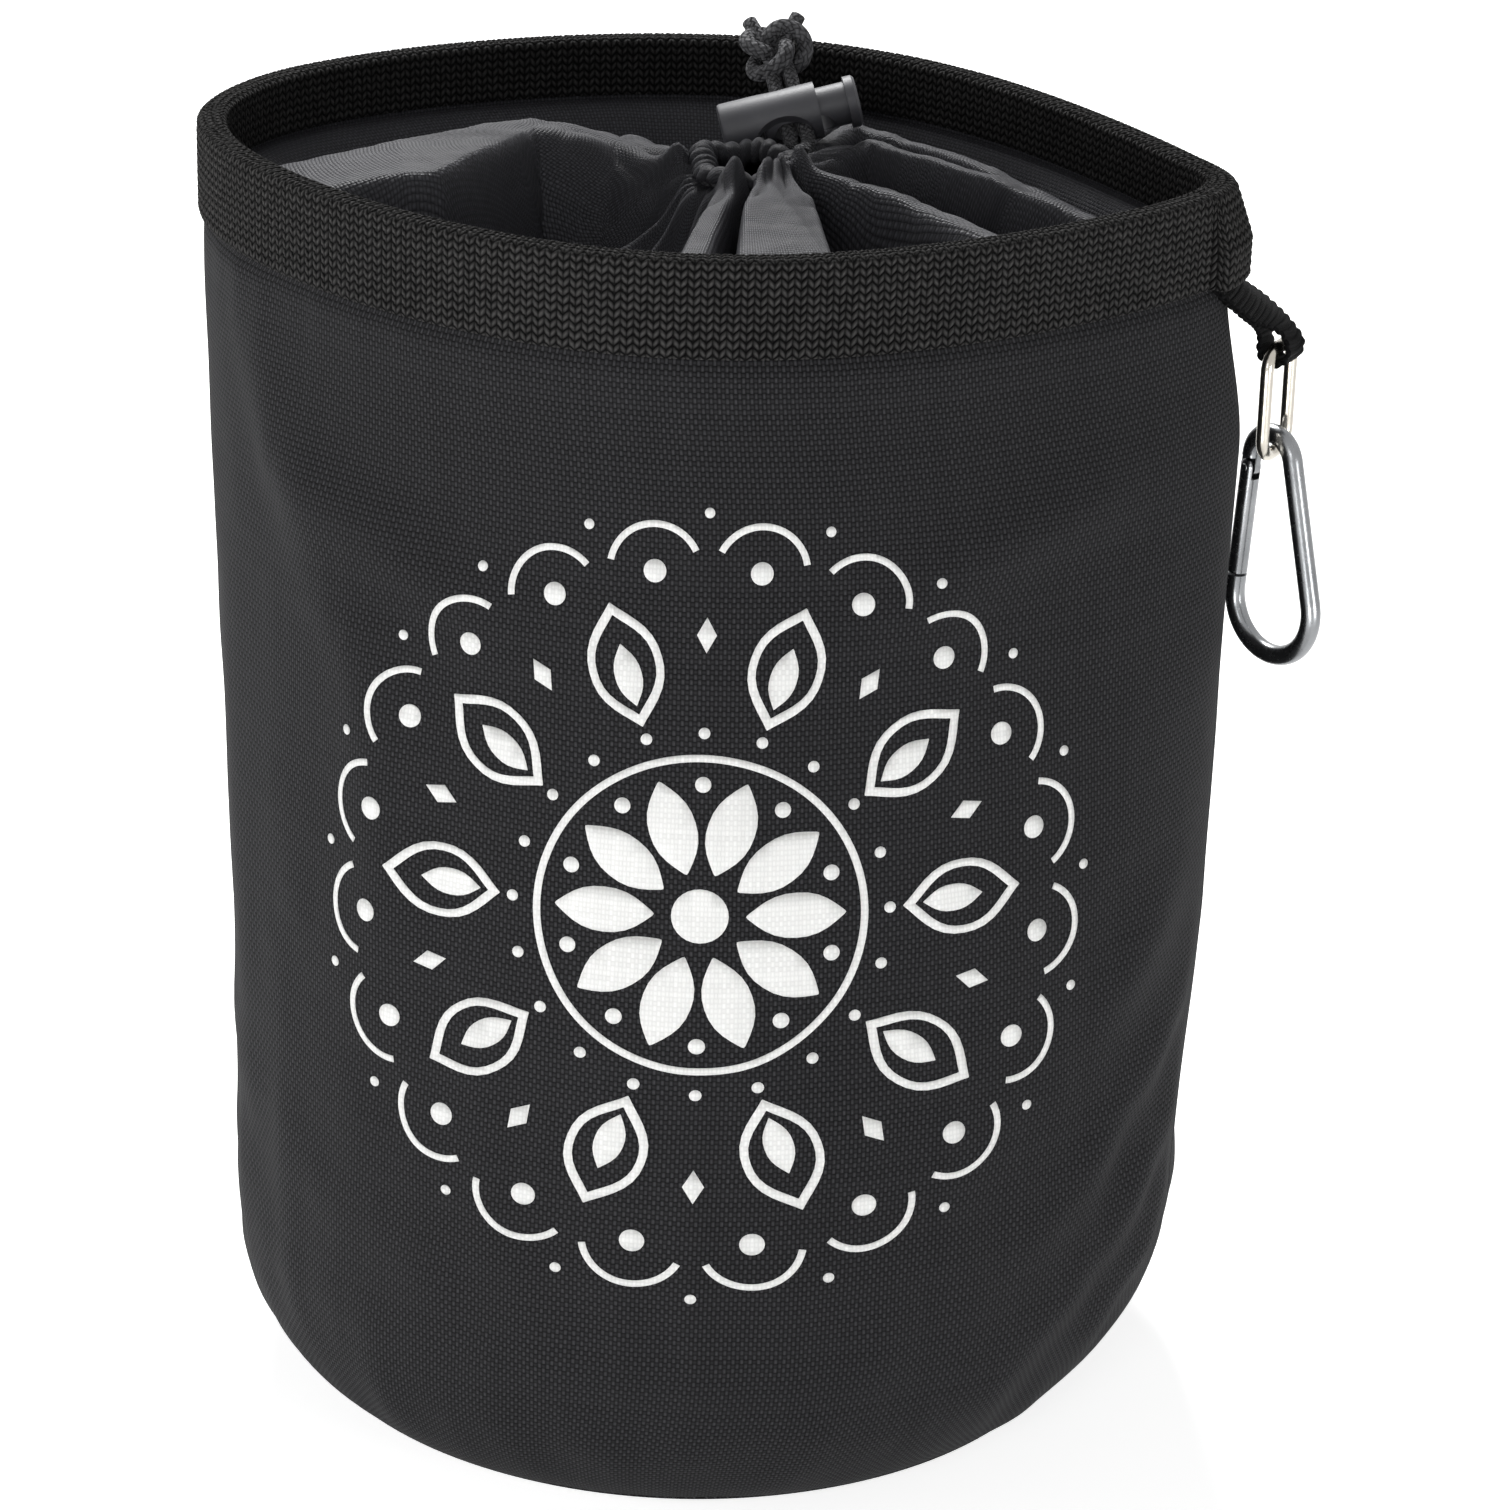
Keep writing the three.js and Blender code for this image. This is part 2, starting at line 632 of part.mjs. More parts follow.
hook.quaternion.setFromRotationMatrix(new THREE.Matrix4().makeBasis(hookPlane, up,
  new THREE.Vector3().crossVectors(hookPlane, up)));
bag.add(hook);

function makeHangerTab() {
  const places = steps(4, -0.5, 0.5);
  const innerPly = layerGap + tabThick / 2;
  const outerPly = innerPly + tabThick + layerGap;
  const root = (z, out) => places.map((w) => wallPoint(seamTurn(w * tabWidth, z), z, out));
  const way = foldCentre.clone().sub(tabFoot);
  const lead = way.addScaledVector(hookAcross, -way.dot(hookAcross)).normalize();
  const square = new THREE.Vector3().crossVectors(lead, hookAcross).normalize();
  const bend = linkWire / 2 + foldClear + tabThick / 2;
  const fold = (angle) => places.map((w) => foldCentre.clone()
    .addScaledVector(hookAcross, w * tabFoldWidth)
    .addScaledVector(square, Math.cos(angle) * bend)
    .addScaledVector(lead, Math.sin(angle) * bend));
  const rootTop = bindingFoot + tabRootDepth;
  const exit = bindingFoot - layerGap;
  const ply = (out, angle) => {
    const from = root(exit, out);
    const to = fold(angle);
    return [root(rootTop, out), ...steps(3, 0, 1).map((share) => from.map((p, j) => p.clone().lerp(to[j], share)))];
  };
  const grid = [
    ...ply(outerPly, 0),
    ...steps(6, 0, Math.PI).slice(1, -1).map(fold),
    ...ply(innerPly, Math.PI).reverse(),
  ];
  part('hanger_tab', cloth(grid, tabThick), webbing);
}

// A round-cornered oval of wire hanging in the tab's fold
function makeOvalLink() {
  const half = tabFoldWidth / 2 + linkClear + linkWire / 2;
  const outline = new THREE.Shape();
  const side = half - linkCorner;
  const low = -linkBarReach;
  outline.absarc(side, -linkCorner, linkCorner, 0.5 * Math.PI, 0, true);
  outline.absarc(side, low + linkCorner, linkCorner, 0, -0.5 * Math.PI, true);
  outline.absarc(-side, low + linkCorner, linkCorner, -0.5 * Math.PI, -Math.PI, true);
  outline.absarc(-side, -linkCorner, linkCorner, Math.PI, 0.5 * Math.PI, true);
  outline.closePath();
  const points = outline.getSpacedPoints(120).slice(0, -1)
    .map((p) => foldCentre.clone().addScaledVector(hookAcross, p.x).addScaledVector(up, p.y));
  part('oval_link', tube(new THREE.CatmullRomCurve3(points, true), linkWire / 2, cordSides, 36, true), nickel);
}

// A gate piece is drawn along local X from the pivot, then laid along the gate's line
const alongGate = (geometry) => geometry.rotateZ(gateTurn).translate(pivot.x, pivot.y, 0);

function slab(x, width, thickness) {
  return new THREE.BoxGeometry(width, 2 * hookRod, thickness).translate(x, 0, 0);
}

function makeHookBody() {
  const half = hookRod / 2;
  const path = new THREE.CurvePath();
  const outline = new THREE.Path();
  outline.moveTo(pivot.x, pivot.y);
  outline.lineTo(gateTop.x, gateTop.y);
  outline.absarc(hookTop.x, hookTop.y, hookTopRadius, gateNormal, spineNormal, true);
  outline.absarc(hookBottom.x, hookBottom.y, hookBottomRadius, spineNormal, gateNormal, true);
  outline.lineTo(nose.x, nose.y);
  const points = outline.getSpacedPoints(160).map((p) => new THREE.Vector3(p.x, p.y, 0));
  path.add(new THREE.CatmullRomCurve3(points));
  const rod = tube(path, half, rodSides, 44);
  const eye = new THREE.CylinderGeometry(half, half, hookRod, 16).rotateX(Math.PI / 2).translate(pivot.x, pivot.y, 0);
  const shoulder = half + runClear;
  const cheek = (side) => alongGate(slab(shoulder / 4, 2.5 * shoulder, hookRod)
    .translate(0, 0, side * (tongueThick + hookRod) / 2));
  const hole = new THREE.CylinderGeometry(pinDiameter / 2 + pinClear, pinDiameter / 2 + pinClear, 2 * hookRod, 16)
    .rotateX(Math.PI / 2).translate(pivot.x, pivot.y, 0);
  part('carabiner_body', cut(join(rod, eye), cheek(1), cheek(-1), hole), steel, hook);
}

// The gate: a rod forked round the tongue, with a bore for its spring behind the fork
function makeHookGate() {
  const half = hookRod / 2;
  const length = pivot.distanceTo(nose) - runClear;
  const forkDepth = half + runClear;
  const bore = gateSpringDiameter / 2 + runClear;
  const boreDepth = gateSpringLength + 2 * runClear;
  const rod = turned([[0, 0], [0, half], [length, half], [length, 0]], rodSides);
  const crown = new THREE.CylinderGeometry(half, half, hookRod, 16).rotateX(Math.PI / 2);
  const slot = slab(0, 2 * forkDepth, tongueThick + 2 * runClear);
  const well = turned([[0, 0], [0, bore], [forkDepth + boreDepth, bore], [forkDepth + boreDepth, 0]], 12);
  const hole = new THREE.CylinderGeometry(pinDiameter / 2 + pinClear, pinDiameter / 2 + pinClear, 2 * hookRod, 16)
    .rotateX(Math.PI / 2);
  part('carabiner_gate', alongGate(cut(join(rod, crown), slot, well, hole)), steel, hook);

  const pin = new THREE.CylinderGeometry(pinDiameter / 2, pinDiameter / 2, hookRod, 12).rotateX(Math.PI / 2);
  part('gate_pivot_pin', alongGate(pin), steel, hook);

  const coil = new THREE.Group();
  coil.position.set(pivot.x, pivot.y, 0);
  coil.rotation.z = gateTurn;
  hook.add(coil);
  makeSpring('gate_spring', gateSpringDiameter, gateSpringWire, forkDepth + runClear, gateSpringLength,
    gateSpringCurls, coil);
}

makeBodyPanel();
makeBasePanel();
makeSeamTapes();
makeRimBinding();
makeCollar();
makeCordLock();
makeDrawstring();
makeHangerTab();
makeOvalLink();
makeHookBody();
makeHookGate();

export default bag;
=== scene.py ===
import json
import math
from functools import partial
import bmesh
import bpy
from mathutils import Matrix, Vector, noise
from mathutils.bvhtree import BVHTree


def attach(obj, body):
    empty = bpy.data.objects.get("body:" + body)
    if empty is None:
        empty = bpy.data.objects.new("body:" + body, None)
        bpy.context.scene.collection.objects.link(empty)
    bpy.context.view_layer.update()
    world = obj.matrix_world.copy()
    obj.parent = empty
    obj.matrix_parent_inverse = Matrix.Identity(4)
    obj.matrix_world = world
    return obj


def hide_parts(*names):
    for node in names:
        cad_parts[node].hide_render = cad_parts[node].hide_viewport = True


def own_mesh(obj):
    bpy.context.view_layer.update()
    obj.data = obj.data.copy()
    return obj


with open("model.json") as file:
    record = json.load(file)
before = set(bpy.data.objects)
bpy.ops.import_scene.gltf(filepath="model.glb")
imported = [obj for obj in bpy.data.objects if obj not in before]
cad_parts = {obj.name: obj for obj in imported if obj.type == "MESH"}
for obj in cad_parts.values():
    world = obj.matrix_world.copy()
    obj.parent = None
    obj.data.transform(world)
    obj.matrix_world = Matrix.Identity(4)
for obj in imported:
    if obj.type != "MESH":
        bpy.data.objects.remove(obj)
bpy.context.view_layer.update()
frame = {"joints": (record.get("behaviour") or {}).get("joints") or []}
scene = bpy.context.scene
mm = 0.001

# camera, from the base circle, the rim and the side edges of the bag
cameraFit = {
    "distance": 1032.0, "elevation": 22.445, "azimuth": 10.966, "roll": 1.548,
    "aimRight": 8.383, "aimHeight": 129.453, "focalPixels": 5099.7, "imagePixels": 1510, "sensor": 36.0,
}


def makeCamera(fit):
    azimuth, elevation, roll = (math.radians(fit[key]) for key in ("azimuth", "elevation", "roll"))
    back = Vector((math.sin(azimuth) * math.cos(elevation), -math.cos(azimuth) * math.cos(elevation),
                   math.sin(elevation)))
    right = Vector((math.cos(azimuth), math.sin(azimuth), 0))
    upward = back.cross(right)
    eye = right * fit["aimRight"] + Vector((0, 0, fit["aimHeight"])) + back * fit["distance"]
    turnedRight = right * math.cos(roll) + upward * math.sin(roll)
    turnedUp = upward * math.cos(roll) - right * math.sin(roll)
    place = Matrix((turnedRight, turnedUp, back)).transposed().to_4x4()
    place.translation = eye * mm
    data = bpy.data.cameras.new("photoCamera")
    data.sensor_width = fit["sensor"]
    data.lens = fit["focalPixels"] / fit["imagePixels"] * fit["sensor"]
    data.clip_start = 0.01
    camera = bpy.data.objects.new("photoCamera", data)
    scene.collection.objects.link(camera)
    camera.matrix_world = place
    scene.camera = camera


makeCamera(cameraFit)
print("camera set")


# small helpers, all in millimetres
def lerp(a, b, share):
    return a + (b - a) * share


def ease(low, high, value):
    share = min(1.0, max(0.0, (value - low) / (high - low)))
    return share * share * (3 - 2 * share)


def alongSteps(count, low, high):
    return [lerp(low, high, i / count) for i in range(count + 1)]


def spotNoise(x, y, z):
    return noise.noise(Vector((x, y, z)))


def roundNoise(turn, waves, z):
    return spotNoise(math.cos(turn) * waves, math.sin(turn) * waves, z)


def finishPiece(name, bm, material, body, replaced=()):
    for face in bm.faces:
        face.smooth = True
    mesh = bpy.data.meshes.new(name)
    bm.to_mesh(mesh)
    bm.free()
    piece = bpy.data.objects.new(name, mesh)
    scene.collection.objects.link(piece)
    mesh.materials.append(material)
    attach(piece, body)
    if replaced:
        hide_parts(*replaced)
    return piece


# thickness for a sheet: an offset of minus one puts it all inside, and nought half on each side
def giveWall(piece, thickness, offset=-1.0):
    wall = piece.modifiers.new("thickness", "SOLIDIFY")
    wall.thickness = thickness * mm
    wall.offset = offset


# a grid of cells bent into shape: place gives each corner, uv the cloth's own size or its spot at each corner
def bentGrid(columns, rows, place, uv, weld=False, outside=None):
    uvPlace = uv if callable(uv) else lambda i, j: (i / columns * uv[0], j / rows * uv[1])
    bm = bmesh.new()
    uvLayer = bm.loops.layers.uv.new("UVMap")
    bmesh.ops.create_grid(bm, x_segments=columns, y_segments=rows, size=0.5)
    cells = {vert: (round((vert.co.x + 0.5) * columns), round((vert.co.y + 0.5) * rows)) for vert in bm.verts}
    for face in bm.faces:
        for loop in face.loops:
            loop[uvLayer].uv = uvPlace(*cells[loop.vert])
    for vert, (i, j) in cells.items():
        vert.co = Vector(place(i, j)) * mm
    if weld:
        bmesh.ops.remove_doubles(bm, verts=bm.verts[:], dist=1e-6)
    bm.normal_update()
    if outside is None:
        bmesh.ops.recalc_face_normals(bm, faces=bm.faces[:])
    else:
        bm.faces.ensure_lookup_table()
        face = bm.faces[len(bm.faces) // 2]
        if face.normal.dot(outside(face.calc_center_median() / mm)) < 0:
            bmesh.ops.reverse_faces(bm, faces=bm.faces[:])
    return bm


# the distance run at each point of a line
def runningReach(points):
    reach = [0.0]
    for a, b in zip(points, points[1:]):
        reach.append(reach[-1] + (b - a).length)
    return reach


# even steps along a line of points: the stretch that each falls on, its share of that stretch, and the whole length
def evenSpots(points, count):
    reach = runningReach(points)
    spots = []
    k = 0
    for target in alongSteps(count, 0.0, reach[-1]):
        while k < len(points) - 2 and reach[k + 1] < target:
            k += 1
        span = reach[k + 1] - reach[k]
        spots.append((k, (target - reach[k]) / span if span else 0.0))
    return spots, reach[-1]


def evenPath(points, count):
    return [points[k].lerp(points[k + 1], share) for k, share in evenSpots(points, count)[0]]


# a smooth line through a few points
def softPath(points, count, fine=24):
    ends = [points[0] * 2 - points[1]] + list(points) + [points[-1] * 2 - points[-2]]
    line = []
    for a, b, c, d in zip(ends, ends[1:], ends[2:], ends[3:]):
        for share in alongSteps(fine, 0, 1)[:-1]:
            line.append(0.5 * (2 * b + (c - a) * share + (2 * a - 5 * b + 4 * c - d) * share ** 2
                               + (3 * b - a - 3 * c + d) * share ** 3))
    line.append(points[-1])
    return evenPath(line, count)


# the nearest spot on a line of points: how far away it is, its stretch, its share of that, and the side it is on
def nearestStretch(spot, points):
    best = None
    for k, (start, end) in enumerate(zip(points, points[1:])):
        way = end - start
        part = min(1.0, max(0.0, (spot - start).dot(way) / way.length_squared))
        off = spot - start - way * part
        if best is None or off.length < best[0]:
            best = (off.length, k, part, way.x * off.y - way.y * off.x)
    return best


# a round bar along a path, with capped ends or joined in a loop
def roundBar(path, radius, sides, loop=False):
    count = len(path)
    tangents = []
    for k in range(count):
        ahead = path[(k + 1) % count] if loop else path[min(k + 1, count - 1)]
        behind = path[k - 1] if loop else path[max(k - 1, 0)]
        tangents.append((ahead - behind).normalized())
    side = tangents[0].orthogonal().normalized()
    sideways = []
    for tangent in tangents:
        side = (side - tangent * side.dot(tangent)).normalized()
        sideways.append(side)
    twist = 0.0
    if loop:
        back = sideways[-1] - tangents[0] * sideways[-1].dot(tangents[0])
        twist = math.atan2(tangents[0].dot(back.cross(sideways[0])), back.dot(sideways[0]))
    rows = count if loop else count - 1

    def place(i, j):
        k = j % count
        angle = 2 * math.pi * (i % sides) / sides + twist * j / rows
        if loop and j == count:
            angle -= twist
        across = sideways[k] * math.cos(angle) + tangents[k].cross(sideways[k]) * math.sin(angle)
        return path[k] + across * radius

    bm = bentGrid(sides, rows, place, (2 * math.pi * radius, runningReach(path)[-1]), weld=True)
    if not loop:
        rim = [edge for edge in bm.edges if edge.is_boundary]
        bmesh.ops.holes_fill(bm, edges=rim, sides=sides + 1)
    bmesh.ops.recalc_face_normals(bm, faces=bm.faces[:])
    return bm


# the wall of the bag, with the sizes of the solids
bagShape = {
    "height": 257.5, "bodyRadius": 97.6, "bottomRound": 43.5, "baseFlat": 70.0, "baseLean": -3.0, "leanHeight": 45.0,
    "farReach": 102.8, "seamReach": 101.4, "halfDepth": 78.6, "belly": 2.2, "bellyHeight": 105.0,
    "frontForm": (0.31, 0.11, 0.03), "backForm": (0.40, 0.20, 0.13),
    "seamDraw": 5.0, "seamDrawLength": 36.0, "baseSeamDip": 66.0, "seamGap": 0.35,
    "wall": 1.0, "collar": 0.6, "layerGap": 0.3, "binding": 1.6, "outerLeg": 18.5, "innerLeg": 12.0,
}
bindingFoot = bagShape["height"] - bagShape["outerLeg"]
innerFoot = bagShape["height"] - bagShape["innerLeg"]
wallTop = bagShape["height"] - bagShape["binding"] - bagShape["layerGap"]


# the lower bag stands a little to the left of the rim
def leanAt(z):
    return bagShape["baseLean"] * (1 - ease(0, bagShape["leanHeight"], z))


def planPoint(turn, z):
    shape = bagShape
    rise = ease(shape["bottomRound"], shape["height"], z)
    draw = shape["seamDraw"] * ease(bindingFoot - shape["seamDrawLength"], bindingFoot, z)
    towards = math.cos(turn)
    belly = shape["belly"] * ease(shape["bottomRound"], shape["bellyHeight"], z)
    belly *= 1 - ease(shape["bellyHeight"], bindingFoot, z)
    seamReach = lerp(shape["bodyRadius"], shape["seamReach"], rise) + belly - draw
    farReach = lerp(shape["bodyRadius"], shape["farReach"], rise)
    depth = lerp(shape["bodyRadius"], shape["halfDepth"], rise)
    pinch, slant, skew = shape["backForm"] if math.sin(turn) > 0 else shape["frontForm"]
    across = depth * math.sin(turn) * (1 - rise * (pinch + slant * towards) * towards ** 2)
    reach = lerp(farReach, seamReach, (1 + towards) / 2) * towards
    return reach + leanAt(z), across * (1 - rise * skew * towards)


def wallNormal(turn, z, step=1e-3):
    ahead, behind = planPoint(turn + step, z), planPoint(turn - step, z)
    along = Vector((ahead[0] - behind[0], ahead[1] - behind[1])).normalized()
    return Vector((along.y, -along.x, 0))


def wallPoint(turn, z, out):
    x, y = planPoint(turn, z)
    return Vector((x, y, z)) + wallNormal(turn, z) * out


def bottomPoint(turn, dip, out):
    across = bagShape["bodyRadius"] - bagShape["baseFlat"]
    high = bagShape["bottomRound"]
    normal = Vector((math.cos(dip) / across, -math.sin(dip) / high)).normalized()
    radius = bagShape["baseFlat"] + across * math.cos(dip) + normal.x * out
    z = high * (1 - math.sin(dip))
    return Vector((math.cos(turn) * radius + leanAt(z), math.sin(turn) * radius, z + normal.y * out))


# the turn at which the wall beside the seam has this y, by halving
def seamTurn(y, z, halvings=40):
    low, high = -math.pi / 3, math.pi / 3
    for _ in range(halvings):
        middle = (low + high) / 2
        if planPoint(middle, z)[1] < y:
            low = middle
        else:
            high = middle
    return low


# turns at even distances along the points that they lead to
def spacedTurns(turns, points, count):
    spots, length = evenSpots(points, count)
    return [lerp(turns[k], turns[k + 1], share) for k, share in spots], length


# round the wall, from one edge of the side seam to the other
def evenTurns(z, count, whole=False, fine=720):
    end = 0.0 if whole else seamTurn(bagShape["seamGap"] / 2, z)
    turns = alongSteps(fine, end, 2 * math.pi - end)
    return spacedTurns(turns, [Vector(planPoint(turn, z)) for turn in turns], count)


def mathNode(tree, operation, *values):
    node = tree.nodes.new("ShaderNodeMath")
    node.operation = operation
    for value, target in zip(values, node.inputs):
        if isinstance(value, (int, float)):
            target.default_value = value
        else:
            tree.links.new(value, target)
    return node.outputs[0]


def newGroup(name, outputs, **sizes):
    group = bpy.data.node_groups.new(name, "ShaderNodeTree")
    group.interface.new_socket("Vector", in_out="INPUT", socket_type="NodeSocketVector")
    for label, value in sizes.items():
        socket = group.interface.new_socket(label, in_out="INPUT", socket_type="NodeSocketFloat")
        socket.default_value = value
    for label in outputs:
        group.interface.new_socket(label, in_out="OUTPUT", socket_type="NodeSocketFloat")
    return group, group.nodes.new("NodeGroupInput").outputs, group.nodes.new("NodeGroupOutput").inputs


# a thread pattern starts from the cloth's own spot, counted in threads
def startPattern(name, pitches, **sizes):
    tree, given, put = newGroup(name, ("Height", "Thread"), **sizes)
    calc = partial(mathNode, tree)
    parts = tree.nodes.new("ShaderNodeSeparateXYZ")
    tree.links.new(given["Vector"], parts.inputs[0])
    a, b = (calc("DIVIDE", part, given[pitch]) for part, pitch in zip(parts.outputs, pitches))
    return tree, given, put, calc, a, b


# and ends in its height and a random value for each thread or stitch, found by the numbers of its cell
def endPattern(tree, put, height, *cell):
    random = tree.nodes.new("ShaderNodeTexWhiteNoise")
    if len(cell) == 1:
        random.noise_dimensions = "1D"
        tree.links.new(cell[0], random.inputs["W"])
    else:
        random.noise_dimensions = "2D"
        joined = tree.nodes.new("ShaderNodeCombineXYZ")
        for number, target in zip(cell, joined.inputs):
            tree.links.new(number, target)
        tree.links.new(joined.outputs[0], random.inputs["Vector"])
    tree.links.new(height, put["Height"])
    tree.links.new(random.outputs["Value"], put["Thread"])
    return tree


def hump(calc, value):
    return calc("SINE", calc("MULTIPLY", calc("FRACT", value), math.pi))


# plain weave: threads cross over and under each other
def makeWeaveGroup(weftNumbers=4000.0):
    tree, given, put, calc, a, b = startPattern("plainWeave", ("Pitch", "Rise"), Pitch=1.0, Rise=1.0, Sink=0.5)
    warp, weft = hump(calc, a), hump(calc, b)
    cellA, cellB = calc("FLOOR", a), calc("FLOOR", b)
    weftUp = calc("PINGPONG", calc("ADD", cellA, cellB), 1.0)
    warpUp = calc("SUBTRACT", 1.0, weftUp)
    over = calc("MULTIPLY", warp, calc("MULTIPLY_ADD", weft, 0.5, 0.5))
    under = calc("MULTIPLY", weft, calc("MULTIPLY_ADD", warp, 0.5, 0.5))
    under = calc("MULTIPLY", under, calc("SUBTRACT", 1.0, given["Sink"]))
    height = calc("ADD", calc("MULTIPLY", over, warpUp), calc("MULTIPLY", under, weftUp))
    thread = calc("ADD", calc("MULTIPLY", cellA, warpUp),
                  calc("MULTIPLY", calc("ADD", cellB, weftNumbers), weftUp))
    return endPattern(tree, put, height, thread)


# zigzag knit: rows of V stitches side by side
def makeKnitGroup():
    tree, given, put, calc, a, b = startPattern("zigzagKnit", ("Column", "Row"), Column=2.9, Row=1.8, Zigzag=0.7)
    legs = calc("MULTIPLY", a, 2.0)
    line = calc("ADD", b, calc("MULTIPLY", calc("PINGPONG", legs, 1.0), given["Zigzag"]))
    height = calc("MULTIPLY", hump(calc, line), calc("MULTIPLY_ADD", hump(calc, legs), 0.7, 0.3))
    return endPattern(tree, put, height, calc("FLOOR", legs), calc("FLOOR", line))


# ribs that run straight or at a slope
def makeRibGroup():
    tree, given, put, calc, a, b = startPattern("clothRib", ("Pitch", "Pitch"), Pitch=1.0, Slope=0.0)
    line = calc("ADD", b, calc("MULTIPLY", a, given["Slope"]))
    rib = calc("FLOOR", line)
    cross = hump(calc, calc("ADD", calc("MULTIPLY", a, 0.5), calc("MULTIPLY", rib, 0.5)))
    height = calc("MULTIPLY", hump(calc, line), calc("MULTIPLY_ADD", cross, 0.35, 0.65))
    return endPattern(tree, put, height, rib)


# braid: two sets of slanting strands
def makeBraidGroup():
    tree, given, put, calc, a, b = startPattern("cordBraid", ("Pitch", "Pitch"), Pitch=1.2)
    rising, falling = calc("ADD", a, b), calc("SUBTRACT", a, b)
    cell = calc("FLOOR", rising), calc("FLOOR", falling)
    fallingUp = calc("PINGPONG", calc("ADD", *cell), 1.0)
    one = calc("MULTIPLY", hump(calc, rising), calc("SUBTRACT", 1.0, fallingUp))
    other = calc("MULTIPLY", hump(calc, falling), fallingUp)
    return endPattern(tree, put, calc("ADD", one, other), *cell)


# soft patches of lighter and darker cloth or metal
def makeMottleGroup():
    tree, given, put = newGroup("softMottle", ["Value"], Scale=40.0)
    clouds = tree.nodes.new("ShaderNodeTexNoise")
    clouds.inputs["Detail"].default_value = 4.0
    for label in ("Vector", "Scale"):
        tree.links.new(given[label], clouds.inputs[label])
    tree.links.new(clouds.outputs["Fac"], put["Value"])
    return tree


weaveGroup, knitGroup, ribGroup = makeWeaveGroup(), makeKnitGroup(), makeRibGroup()
braidGroup, mottleGroup = makeBraidGroup(), makeMottleGroup()


def startMaterial(name, roughness, metallic=0.0):
    material = bpy.data.materials.new(name)
    material.use_nodes = True
    shader = material.node_tree.nodes["Principled BSDF"]
    shader.inputs["Roughness"].default_value = roughness
    shader.inputs["Metallic"].default_value = metallic
    return material, material.node_tree, shader


def groupNode(tree, group, vector, **values):
    node = tree.nodes.new("ShaderNodeGroup")
    node.node_tree = group
    tree.links.new(vector, node.inputs["Vector"])
    for label, value in values.items():
        node.inputs[label].default_value = value
    return node.outputs


def addColour(tree, shader, value, *stops):
    ramp = tree.nodes.new("ShaderNodeValToRGB")
    for element, (spot, colour) in zip(ramp.color_ramp.elements, stops):
        element.position = spot
        element.color = (*colour, 1.0)
    tree.links.new(value, ramp.inputs[0])
    tree.links.new(ramp.outputs[0], shader.inputs["Base Color"])


def addRelief(tree, shader, height, strength, depth):
    bump = tree.nodes.new("ShaderNodeBump")
    bump.inputs["Strength"].default_value = strength
    bump.inputs["Distance"].default_value = depth * mm
    tree.links.new(height, bump.inputs["Height"])
    tree.links.new(bump.outputs[0], shader.inputs["Normal"])


# a cloth finish: the thread pattern's height sets the relief and also paints highlight on the thread crowns and shade
# in the hollows between threads; a random tone per thread and soft patches vary the colour
def makeCloth(name, pattern, sizes, look):
    material, tree, shader = startMaterial(name, look["roughness"])
    calc = partial(mathNode, tree)
    spot = tree.nodes.new("ShaderNodeTexCoord").outputs
    threads = groupNode(tree, pattern, spot["UV"], **sizes)
    patches = groupNode(tree, mottleGroup, spot["Object"], Scale=look["patchScale"])["Value"]
    # crown: how much the thread height lightens the colour, a painted highlight on the crowns with painted shade in the
    # hollows
    tone = calc("ADD", calc("MULTIPLY", threads["Height"], look["crown"]),
                calc("MULTIPLY", threads["Thread"], look["thread"]))
    tone = calc("ADD", tone, calc("MULTIPLY", patches, look["patch"]))
    addColour(tree, shader, tone, (look["start"], look["dark"]), (1.0, look["light"]))
    addRelief(tree, shader, threads["Height"], look["relief"], look["depth"])
    shader.inputs["Specular IOR Level"].default_value = look["gloss"]
    return material


# in each cloth look, crown sets the painted highlight on thread crowns and the painted shade between threads; thread
# and patch are the cloth's own random tone
oxfordCloth = makeCloth("oxfordCloth", weaveGroup, {"Pitch": 0.8, "Rise": 0.98, "Sink": 0.6}, {
    "roughness": 0.78, "gloss": 0.12, "crown": 0.86, "thread": 0.07, "patch": 0.07, "patchScale": 18.0, "start": 0.08,
    "dark": (0.0010, 0.0010, 0.0012), "light": (0.050, 0.050, 0.054), "relief": 1.0, "depth": 0.4,
})
bindingKnit = makeCloth("bindingKnit", knitGroup, {"Column": 2.4, "Row": 1.75, "Zigzag": 0.62}, {
    "roughness": 0.85, "gloss": 0.1, "crown": 0.8, "thread": 0.15, "patch": 0.05, "patchScale": 25.0, "start": 0.26,
    "dark": (0.0010, 0.0010, 0.0010), "light": (0.072, 0.070, 0.069), "relief": 1.0, "depth": 0.8,
})
collarNylon = makeCloth("collarNylon", weaveGroup, {"Pitch": 0.75, "Rise": 0.75, "Sink": 0.35}, {
    "roughness": 0.48, "gloss": 0.14, "crown": 0.78, "thread": 0.12, "patch": 0.12, "patchScale": 14.0, "start": 0.0,
    "dark": (0.003, 0.003, 0.0036), "light": (0.118, 0.118, 0.132), "relief": 0.8, "depth": 0.2,
})
tabWebbing = makeCloth("tabWebbing", weaveGroup, {"Pitch": 0.7, "Rise": 0.7, "Sink": 0.3}, {
    "roughness": 0.7, "gloss": 0.05, "crown": 0.7, "thread": 0.15, "patch": 0.15, "patchScale": 60.0, "start": 0.15,
    "dark": (0.002, 0.002, 0.0022), "light": (0.016, 0.016, 0.0165), "relief": 1.0, "depth": 0.3,
})
innerTape = makeCloth("innerTape", ribGroup, {"Pitch": 1.0, "Slope": 0.4}, {
    "roughness": 0.85, "gloss": 0.15, "crown": 0.6, "thread": 0.2, "patch": 0.2, "patchScale": 30.0, "start": 0.0,
    "dark": (0.004, 0.004, 0.0045), "light": (0.018, 0.018, 0.019), "relief": 0.8, "depth": 0.2,
})
